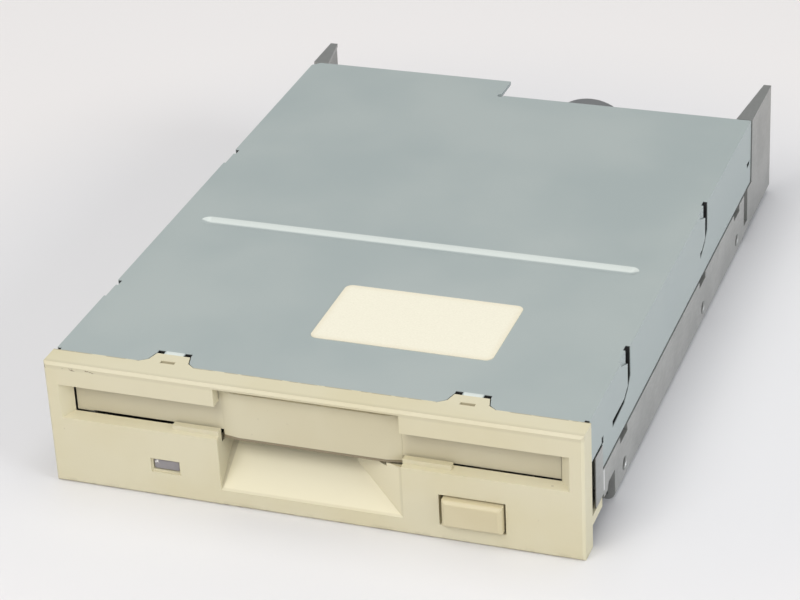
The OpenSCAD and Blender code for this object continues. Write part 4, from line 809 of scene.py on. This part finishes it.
def chips():
    """Bodies and legs of every chip, each inside its node's solid."""
    leg_out = 0.9
    leg_pitch = 1.27
    leg_r = 0.16
    shoulder = 0.3
    shoulder_z = 0.75
    knee = 0.45
    board_gap = Vector((0, 0, 0.1))
    leg_path = ((leg_out + shoulder, shoulder_z), (leg_out - shoulder, shoulder_z), (leg_out - knee, leg_r),
                (0.0, leg_r))
    bodies = bmesh.new()
    legs = bmesh.new()
    inset = Vector((leg_out, leg_out, 0))
    board_z = span("main_board")[0].z
    for low, high in lumps("control_chips"):
        up = -1 if low.z < board_z else 1
        seat = high.z if up < 0 else low.z
        middle = (low + high) / 2
        block(bodies, low + inset + board_gap, high - inset - board_gap)
        square = abs((high.x - low.x) - (high.y - low.y)) < 1
        for axis in ((0, 1) if square else (1,)):
            other = 1 - axis
            room = high[other] - low[other] - 2 * leg_out - leg_pitch
            count = int(room / leg_pitch)
            for index in range(count + 1):
                for side in (-1, 1):
                    edge = high[axis] if side > 0 else low[axis]
                    points = []
                    for out, height in leg_path:
                        point = Vector((0, 0, seat + up * height))
                        point[axis] = edge - side * out
                        point[other] = middle[other] + (index - count / 2) * leg_pitch
                        points.append(point)
                    sweep(legs, points, leg_r, 4)
    return round_edges(bodies, 0.14), legs


chip_bodies, chip_legs = chips()
make("control_chip_bodies", chip_bodies, chip_finish(), "black_plastic", "frame", "control_chips")
tinned = metal_finish("tinned_legs", (0.50, 0.50, 0.50), (0.70, 0.70, 0.69), 0.24, 0.2)
make("control_chip_legs", chip_legs, tinned, "bright_sheet", "frame", "control_chips")


def sleeve_finish():
    finish, place = new_finish("capacitor_sleeve")
    capacitors_high = span("capacitors")[1]
    sleeve_top = capacitors_high.z - 0.2
    stripe_y = capacitors_high.y - 0.75
    crown = place.along("Z").over(sleeve_top - 0.04, sleeve_top)
    stripe = place.along("Y").over(stripe_y, stripe_y + 0.05)
    scuffs = place.noise(1.2, 4.0)
    film = stripe.shade((0.02, 0.025, 0.06), (0.42, 0.43, 0.46))
    return set_finish(finish, {
        "Base Color": crown.shade(film, (0.62, 0.62, 0.62)),
        "Metallic": 0.95 * crown,
        "Roughness": 0.22 + 0.2 * scuffs,
        "Normal": scuffs.bump(0.004),
    })


neck_z = 0.8
neck_d = 0.2
rim_w = 0.45
crown_sunk = 0.14
capacitor_cans = bmesh.new()
for low, high in lumps("capacitors"):
    sleeve_r = (high.x - low.x) / 2
    sleeve_l = high.z - low.z
    turned(capacitor_cans, [
        (0, 0), (sleeve_r - 0.25, 0), (sleeve_r, 0.2), (sleeve_r, neck_z), (sleeve_r - neck_d, neck_z + 0.2),
        (sleeve_r - neck_d, neck_z + 0.35), (sleeve_r, neck_z + 0.55), (sleeve_r, sleeve_l - rim_w),
        (sleeve_r - 0.15, sleeve_l - 0.12), (sleeve_r - rim_w, sleeve_l), (sleeve_r - rim_w - 0.15, sleeve_l),
        (sleeve_r - rim_w - 0.3, sleeve_l - crown_sunk), (0, sleeve_l - crown_sunk)
    ], ((low.x + high.x) / 2, (low.y + high.y) / 2, low.z), (0, 0, 1), 40)
make("capacitor_cans", capacitor_cans, sleeve_finish(), "sleeve", "frame", "capacitors")

# Connectors: a black pin header for the 34-way signal cable and a white shrouded socket for power, both
# soldered to the rear edge of the main board, with square gold-plated pins.
header_low, header_high = span("signal_connector")
pin_pitch = 2.54


def header_block():
    notch_w = 0.35
    notch_h = 0.45
    columns = 17
    body = bmesh.new()
    block(body, header_low, header_high)
    notches = bmesh.new()
    middle = (header_low.x + header_high.x) / 2
    for index in range(1, columns):
        at = middle + (index - columns / 2) * pin_pitch
        block(notches, (at - notch_w / 2, header_low.y - 1, header_high.z - notch_h),
              (at + notch_w / 2, header_high.y + 1, header_high.z + 1))
    return carved(round_edges(body, 0.2), notches)


def tapered_pins(node):
    tip_l = 0.7
    tip = 0.45
    shape = bmesh.new()
    for low, high in lumps(node):
        middle = (low + high) / 2
        half = (high - low) / 2
        rings = []
        for along, scale in ((low.y, 1), (high.y - tip_l, 1), (high.y, tip)):
            rings.append([Vector((middle.x + x * half.x * scale, along, middle.z + z * half.z * scale))
                          for x, z in ((-1, -1), (1, -1), (1, 1), (-1, 1))])
        loft(shape, rings)
    return shape


gold = metal_finish("gold_plate", (0.58, 0.40, 0.13), (0.80, 0.60, 0.25), 0.2, 0.12, metallic=1.0)
make("signal_header_block", header_block(), black_plastic, "black_plastic", "frame", "signal_connector")
make("signal_header_pins", tapered_pins("signal_pins"), gold, "gold_plate", "frame", "signal_pins")
make_rounded("power_socket_shell", "power_connector", 0.25, white_plastic, "white_plastic", "frame")
make("power_socket_pins", tapered_pins("power_pins"), gold, "gold_plate", "frame", "power_pins")

# Disk holder: the bright pressed cage that takes the disk, on four pins in the slots of the slide. A lever
# with a return spring turns on top of it and opens the disk's shutter.
make_rounded("disk_holder_cage", "disk_holder", 0.1, bright_sheet, "bright_sheet", "holder")
make_rounded("disk_holder_pins", "holder_pins", 0.25, ground_steel, "screw_steel", "holder", least=0.1)
make_rounded("shutter_lever_arm", "shutter_lever", 0.1, bright_sheet, "bright_sheet", "lever")
make_rounded("shutter_lever_pivot", "lever_pivot", 0.12, ground_steel, "screw_steel", "holder", least=0.1)


def coil_spring(shape, start, end, radius, wire_r, turns, tail):
    """Adds a close-wound spring with a straight tail at each end."""
    run = end - start
    heading = run.normalized()
    side = heading.orthogonal().normalized()
    other = heading.cross(side)
    steps_per_turn = 10
    steps = turns * steps_per_turn
    points = [start]
    for step in range(steps + 1):
        angle = step * math.tau / steps_per_turn
        along = tail + (run.length - 2 * tail) * step / steps
        points.append(start + heading * along
                      + (radius - wire_r) * (math.cos(angle) * side + math.sin(angle) * other))
    points.append(end)
    sweep(shape, points, wire_r)


lever_spring_low, lever_spring_high = span("lever_spring")
lever_spring_middle = (lever_spring_low + lever_spring_high) / 2
lever_spring_from = Vector((lever_spring_middle.x, lever_spring_low.y, lever_spring_middle.z))
lever_spring_to = Vector((lever_spring_middle.x, lever_spring_high.y, lever_spring_middle.z))
lever_coil = bmesh.new()
coil_spring(lever_coil, lever_spring_from, lever_spring_to, (lever_spring_high.z - lever_spring_low.z) / 2,
            wire_r=0.09, turns=44, tail=1.5)
lever_spring = make("shutter_lever_spring", lever_coil, spring_wire, "spring_steel", None, "lever_spring")
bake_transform(lever_spring)

# Slide plate: bright pressed plate over the holder, with slanted slots that drop the holder as it moves. Two
# drawn springs from the chassis pull it, and the eject button pushes it back.
make_rounded("eject_slide_plate", "slide_plate", 0.1, bright_sheet, "bright_sheet", "slide")
slide_coils = bmesh.new()
for low, high in lumps("slide_springs"):
    middle = (low + high) / 2
    coil_spring(slide_coils, Vector((middle.x, low.y, middle.z)), Vector((middle.x, high.y, middle.z)),
                (high.z - low.z) / 2, wire_r=0.13, turns=60, tail=2.0)
slide_springs = make("slide_return_springs", slide_coils, spring_wire, "spring_steel", None, "slide_springs")
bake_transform(slide_springs)

# LED: a small block of clear epoxy on two tinned legs, soldered to the motor board behind the window in the
# bezel.
led_low = span("led")[0]


def led_finish():
    finish, place = new_finish("led_epoxy")
    block_end = led_low.y + 4.65
    legs = place.along("Y").over(block_end, block_end + 0.1)
    haze = place.noise(1.5, 3.0)
    return set_finish(finish, {
        "Base Color": legs.shade(haze.shade((0.50, 0.58, 0.46), (0.60, 0.68, 0.56)),
                                 (0.62, 0.62, 0.61)),
        "Metallic": 0.9 * legs,
        "Roughness": 0.12 + 0.1 * haze,
        "Coat Weight": 1 - legs,
    })


make_rounded("activity_led", "led", 0.2, led_finish(), "lens_plastic", "frame", 3)

# Bezel: the drive's face, moulded in beige plastic that has yellowed a little with age. It clips into the
# cover at the top and holds the chassis between its side lugs; handling has scuffed its upper front edge.
bezel_low, bezel_high = span("bezel")
bezel_depth = 4.9
clip_at = 28.4
clip_root_half = 5.25


def bezel_finish():
    finish, place, tone, specks = moulded_finish("bezel_beige", (0.636, 0.585, 0.421),
                                                 (0.616, 0.557, 0.377), 0.42)
    recess_high = 13.3
    recess_half = 17.4
    wall_x = -17.3
    wall_lean = 0.127
    handled_end = bezel_low.x + 14
    clip_slot_half = 1.45
    clip_slot_l = 1.05
    top = bezel_high.z
    across = place.along("X")
    depth = place.along("Y") - bezel_low.y
    height = place.along("Z")
    scoop = depth.over(0.2, 0.5) * height.under(recess_high, recess_high + 0.3)
    scoop = scoop * abs(across).under(recess_half, recess_half + 0.2)
    # Painted light: the thumb scoop is coloured paler, against the shade the flap above casts into it.
    tone = scoop.shade(tone, (0.71, 0.652, 0.468))
    # Painted shade on the scoop's left wall, which leans back with depth.
    shaded_wall = scoop * (across - wall_lean * depth).under(wall_x, wall_x + 0.2)
    # Painted shade along the upper front edge, to dim the highlight its chamfer catches.
    upper_edge_shade = depth.under(0.6, 1.6) * height.over(top - 1.4, top - 0.8)
    handled = across.under(handled_end - 6, handled_end)
    under_edge = depth.under(0.3, 0.5) * height.over(top - 1.3, top - 1.1)
    under_edge = under_edge * height.under(top - 0.75, top - 0.6)
    scuffs = place.scaled(0.5, 1.0, 2.0).noise(1.4, 4.0).over(0.57, 0.61) * under_edge * handled
    lower_dirt = height.under(0.0, 1.5) * place.noise(0.5, 3.0).over(0.45, 0.65)
    off_clip = abs(abs(across) - clip_at)
    broken = place.scaled(1.0, 0.0, 0.0).noise(0.3, 3.0).over(0.42, 0.5)
    joint = depth.over(bezel_depth - 0.28, bezel_depth - 0.2) * height.over(top - 1.0, top - 0.8)
    joint = joint * off_clip.over(clip_root_half, clip_root_half + 0.1) * broken
    # Painted shade inside the slots behind the clips.
    slots = (depth - bezel_depth).over(0.05, 0.1) * off_clip.under(clip_slot_half, clip_slot_half + 0.05)
    slots = slots * (depth - bezel_depth).under(clip_slot_l, clip_slot_l + 0.05)
    slots = slots * height.under(top - 0.2, top - 0.1)
    # Dirt (scuffs, specks, the bottom edge, the joint) and painted shade (the scoop's left wall, the clip
    # slots, the upper front edge) darken the beige together.
    dirt_and_shade = 0.8 * scuffs + 0.3 * shaded_wall + 0.25 * lower_dirt + 0.3 * specks
    dirt_and_shade = dirt_and_shade + 0.4 * slots + 0.5 * joint + 0.13 * upper_edge_shade
    dirt_and_shade = dirt_and_shade.maths("MINIMUM", dirt_and_shade, 0.9)
    return set_finish(finish, {"Base Color": dirt_and_shade.shade(tone, (0.16, 0.12, 0.07))})


make_rounded("bezel_face", "bezel", 0.28, bezel_finish(), "bezel_plastic", "frame", 3)

# Window lens: a light guide of clear plastic, snapped into the bezel from behind, so the face of it lies a
# little behind the frame. It looks dark with the LED off, and a pale spot at its upper left corner is a
# painted highlight.
lens_low, lens_high = span("led_lens")


def lens_finish():
    finish, place = new_finish("lens_clear")
    haze = place.noise(1.2, 3.0)
    # Painted highlight: a pale glint near the upper left corner.
    glint_at = (lens_low.x + 1.55, 0, lens_high.z - 1.05)
    reach = place.vector("SUBTRACT", glint_at).scaled(0.6, 0.0, 1.0).length()
    painted_glint = reach.under(0.15, 0.5) * place.noise(2.2, 2.0).over(0.42, 0.6)
    clear = haze.shade((0.20, 0.185, 0.20), (0.26, 0.245, 0.25))
    return set_finish(finish, {
        "Base Color": painted_glint.shade(clear, (0.85, 0.83, 0.80)),
        "Roughness": 0.08 + 0.08 * haze,
        "Coat Weight": 0.6 + 0.4 * haze,
        "Normal": haze.bump(0.01),
    })


make_rounded("led_window_lens", "led_lens", 0.2, lens_finish(), "lens_plastic", "frame", 3)

# Dust flap: one beige moulding that closes the slot, with a raised panel in its middle. It hangs on two pins
# in the bezel and swings inwards in front of the disk.
flap_low, flap_high = span("dust_flap")
flap_pin_r = 0.75
flap_pin = flap_high - Vector((0, flap_pin_r, flap_pin_r))


def flap_finish():
    finish, place, tone, specks = moulded_finish("flap_beige", (0.607, 0.559, 0.404),
                                                 (0.570, 0.515, 0.356), 0.45)
    wings_start = 16.5
    lip = flap_low.z + 0.32
    # Painted shade: the wings beside the panel are coloured darker, for the shade of the bezel's lip above
    # them.
    shaded_wings = abs(place.along("X")).over(wings_start, wings_start + 2)
    # Painted shade: a dark line along the flap's lower edge, for the gap and contact shadow below it.
    lower_edge_shade = place.along("Z").under(lip, lip + 0.13)
    # Painted shade on the wings and along the lower edge, together with specks of dirt, darkens the beige.
    dirt_and_shade = 0.16 * shaded_wings + 0.1 * specks + 0.85 * lower_edge_shade
    dirt_and_shade = dirt_and_shade.maths("MINIMUM", dirt_and_shade, 0.9)
    return set_finish(finish, {"Base Color": dirt_and_shade.shade(tone, (0.16, 0.12, 0.07))})


def flap_moulding():
    pin_l = 1.7
    plate_half = flap_high.x - pin_l
    plate_low = 14.8
    foot_low = 14.7
    foot_l = 3.2
    plate_t = 1.2
    panel_half = 17.15
    panel_high = 23.0
    panel_proud = 0.6
    swell = 3.0
    overlap = 0.4
    inset = 0.02
    panel_step = 0.04
    foot_gap = 0.4
    tip_r = 0.5
    plate_y = flap_low.y + panel_proud
    plate = bmesh.new()
    block(plate, (-plate_half, plate_y, plate_low), (plate_half, plate_y + plate_t, flap_pin.z + 0.5))
    panel = bmesh.new()
    panel_back = plate_y + plate_t - inset
    outline = [(-panel_half, panel_back), (-panel_half, plate_y - panel_step),
               (swell - panel_half, flap_low.y), (panel_half - swell, flap_low.y),
               (panel_half, plate_y - panel_step), (panel_half, panel_back)]
    loft(panel, [[Vector((x, y, z)) for x, y in outline] for z in (flap_low.z, panel_high)])
    feet = bmesh.new()
    pins = bmesh.new()
    for side, foot_in in ((-1, plate_half - foot_l), (1, panel_half + foot_gap)):
        tip = [(tip_r, pin_l + 1), (0, pin_l + 1)] if side < 0 else [(0, pin_l)]
        turned(pins, [(0, -overlap), (flap_pin_r, -overlap), (flap_pin_r, pin_l), (tip_r, pin_l)] + tip,
               (side * plate_half, flap_pin.y, flap_pin.z), (side, 0, 0), 32)
        ends = sorted((side * (plate_half - inset), side * foot_in))
        block(feet, (ends[0], plate_y + inset, foot_low), (ends[1], panel_back, plate_low + 0.5))
    door = carved(round_edges(plate, 0.12, 3), round_edges(panel, 0.2, 3, angle=20), "UNION")
    return carved(carved(door, feet, "UNION"), pins, "UNION")


make("dust_flap_door", flap_moulding(), flap_finish(), "flap_plastic", "flap", "dust_flap")

# Flap spring: a little over two turns of spring wire, wound on the end of the flap's left pin. It presses
# the flap shut.
spring_low, spring_high = span("flap_spring")
flap_coil = bmesh.new()
flap_wire_r = 0.15
flap_coil_r = (spring_high.z - spring_low.z) / 2 - flap_wire_r
flap_coil_l = spring_high.x - spring_low.x - 2 * flap_wire_r
flap_coil_turns = 2.25
flap_coil_steps = 45
flap_coil_points = []
for step in range(flap_coil_steps + 1):
    angle = flap_coil_turns * math.tau * step / flap_coil_steps
    flap_coil_points.append(Vector((spring_low.x + flap_wire_r + flap_coil_l * step / flap_coil_steps,
                                    flap_pin.y + flap_coil_r * math.cos(angle),
                                    flap_pin.z + flap_coil_r * math.sin(angle))))
sweep(flap_coil, flap_coil_points, flap_wire_r, 8)
make("flap_return_spring", flap_coil, spring_wire, "spring_steel", "frame", "flap_spring")

# Eject button: a beige cap on a stem that is pushed into the slide's leg. Moulded, with bevelled edges, and
# a shade darker than the bezel from years of fingers.
button_beige = moulded_finish("button_beige", (0.592, 0.522, 0.346), (0.553, 0.478, 0.302), 0.4)[0]
make_rounded("eject_button_cap", "eject_button", 0.2, button_beige, "bezel_plastic", "slide", 3)

# Top cover: steel sheet painted a blue-grey satin, with a pressed rib, folded sides and lanced spring tabs.
# It slides under the bezel's clips. The rib's far slope and the ramps behind the clips are coloured pale as
# painted highlights, and the cut edges and the inside are coloured near-black as painted shade.
cover_high = span("top_cover")[1]
rib_at = -13.95
slits_at = (-41.35, 17.65)


def cover_finish():
    finish, place = new_finish("cover_paint")
    rib_half = 2.1
    tab_far = 6.5
    tab_near = 1.92
    tab_h = 2.8
    ramp_half = 1.85
    ramp_end = -64.1
    rear_step = 55.8
    top = cover_high.z
    peel = place.noise(1.8, 3.0)
    patches = place.noise(0.035, 4.0).over(0.3, 0.7)
    grain = place.noise(9.0, 2.0)
    across = place.along("X")
    along = place.along("Y")
    height = place.along("Z")
    behind_side = cover_high.x - abs(across)
    behind_skin = behind_side.maths("MINIMUM", behind_side, top - height)
    rib = abs(along - rib_at).under(rib_half, rib_half + 0.1)
    # Painted shade: faces deeper than the outer skin, the cut edges and the inside, are coloured near-black,
    # but not the rib's groove, the pressed spring tabs, the ramps behind the clips or the part behind the
    # rear step.
    painted_inner_shade = behind_skin.over(0.08, 0.2) * (1 - rib * height.over(top - 0.7, top - 0.6))
    for slit in slits_at:
        behind_slit = slit - along
        pressed = behind_slit.over(tab_near, tab_near + 0.04) * behind_slit.under(tab_far, tab_far + 0.1)
        painted_inner_shade = painted_inner_shade * (1 - pressed * height.over(top - tab_h - 0.1, top - tab_h))
    behind_clip = abs(abs(across) - clip_at).under(ramp_half, ramp_half + 0.05)
    ramp = behind_clip * along.under(ramp_end, ramp_end + 0.1) * height.over(top - 0.55, top - 0.5)
    painted_inner_shade = painted_inner_shade * (1 - ramp) * along.under(rear_step, rear_step + 0.1)
    tone = patches.shade((0.344, 0.390, 0.384), (0.384, 0.424, 0.412))
    # Painted highlights: the rib's far slope and the ramps behind the clips are coloured pale.
    painted_highlight = rib * along.over(rib_at, rib_at + 0.6) * behind_skin.over(0.03, 0.1)
    painted_highlight = painted_highlight.maths("MAXIMUM", painted_highlight, ramp * behind_skin.over(0.0, 0.03))
    tone = painted_highlight.shade(tone, (0.64, 0.68, 0.645))
    painted = (0.25 * grain).shade(tone, (0.300, 0.340, 0.330))
    return set_finish(finish, {
        "Base Color": painted_inner_shade.shade(painted, (0.012, 0.012, 0.012)),
        "Roughness": 0.40 + 0.12 * patches + 0.3 * painted_inner_shade,
        "Normal": (peel + 0.4 * grain).bump(0.008),
    })


make_rounded("top_cover_sheet", "top_cover", 0.16, cover_finish(), "cover_paint", "frame")


# Label: a cream paper label, die-cut with rounded corners and stuck on the cover by its gummed back. It has
# yellowed at the edges.
def paper_finish():
    finish, place = new_finish("label_paper")
    label_low, label_high = span("paper_label")
    middle = (label_low + label_high) / 2
    half = (label_high - label_low) / 2
    edge_w = 1.5
    fibres = place.scaled(1.0, 3.0, 1.0).noise(2.5, 4.0)
    edge = abs(place.along("X") - middle.x).over(half.x - edge_w, half.x)
    edge = edge + abs(place.along("Y") - middle.y).over(half.y - edge_w, half.y)
    tone = fibres.over(0.3, 0.7).shade((0.757, 0.717, 0.581), (0.810, 0.770, 0.634))
    return set_finish(finish, {
        "Base Color": (0.25 * edge).shade(tone, (0.62, 0.52, 0.34)),
        "Roughness": 0.7 + 0.15 * fibres,
        "Normal": fibres.bump(0.01),
    })


make_rounded("cover_label", "paper_label", 0.03, paper_finish(), "paper", "frame", 1)

# Stage: a pale floor, coloured darker near the drive and paler further off as painted light, under a white
# tent, a soft key light from the front left, and a camera where the photograph was taken from.
floor_reach = 3.0
floor_mesh = bpy.data.meshes.new("floor")
floor_corners = [(-floor_reach, -floor_reach, 0), (floor_reach, -floor_reach, 0),
                 (floor_reach, floor_reach, 0), (-floor_reach, floor_reach, 0)]
floor_mesh.from_pydata(floor_corners, [], [(0, 1, 2, 3)])
floor = bpy.data.objects.new("floor", floor_mesh)
bpy.context.scene.collection.objects.link(floor)
floor_finish, floor_place = new_finish("floor_white")
near_drive = 90
off_drive = 155
# Painted shade around the drive: the floor's colour is darker near it and paler further off.
floor_painted_light = floor_place.length().over(near_drive, off_drive)
set_finish(floor_finish, {
    "Base Color": floor_painted_light.shade((0.72, 0.71, 0.72), (0.80, 0.77, 0.76)),
    "Roughness": 0.55,
})
floor_mesh.materials.append(floor_finish)

tent = bpy.data.worlds.new("tent")
tent.use_nodes = True
tent_light = tent.node_tree.nodes["Background"]
tent_light.inputs["Color"].default_value = (0.92, 0.96, 1.0, 1.0)
tent_light.inputs["Strength"].default_value = 0.335
bpy.context.scene.world = tent


def soft_box(name, place, size, power, tint):
    """A square lamp that faces the drive."""
    data = bpy.data.lights.new(name, "AREA")
    data.size = size
    data.energy = power
    data.color = tint
    lamp = bpy.data.objects.new(name, data)
    lamp.location = place
    lamp.rotation_mode = "QUATERNION"
    lamp.rotation_quaternion = (-Vector(place)).to_track_quat("-Z", "Y")
    bpy.context.scene.collection.objects.link(lamp)


warm = (1.0, 0.985, 0.96)
cool = (0.90, 0.95, 1.0)
soft_box("left_light", (-0.72, -0.88, 1.36), 0.8, 3.78, warm)
soft_box("key_light", (-0.32, -1.2, 1.2), 0.8, 10.12, warm)
soft_box("front_light", (0.16, -1.28, 0.96), 0.8, 3.86, warm)
soft_box("top_light", (0.0, 0.16, 1.76), 1.44, 12.26, warm)
soft_box("right_light", (1.52, -0.32, 0.51), 0.96, 13.27, cool)

azimuth = math.radians(20.71)
elevation = math.radians(28.71)
roll = math.radians(-3.05)
camera_place = Vector((0.1588, -0.44335, 0.2642))
backward = Vector((math.sin(azimuth) * math.cos(elevation), -math.cos(azimuth) * math.cos(elevation),
                   math.sin(elevation)))
level = Vector((math.cos(azimuth), math.sin(azimuth), 0))
upright = backward.cross(level)
camera_right = math.cos(roll) * level + math.sin(roll) * upright
camera_up = math.cos(roll) * upright - math.sin(roll) * level
camera_data = bpy.data.cameras.new("camera")
camera_data.lens = 120.12
camera = bpy.data.objects.new("camera", camera_data)
camera_turn = Matrix((camera_right, camera_up, backward)).transposed().to_4x4()
camera.matrix_world = Matrix.Translation(camera_place) @ camera_turn
bpy.context.scene.collection.objects.link(camera)
bpy.context.scene.camera = camera
bpy.context.scene.view_settings.view_transform = "Standard"
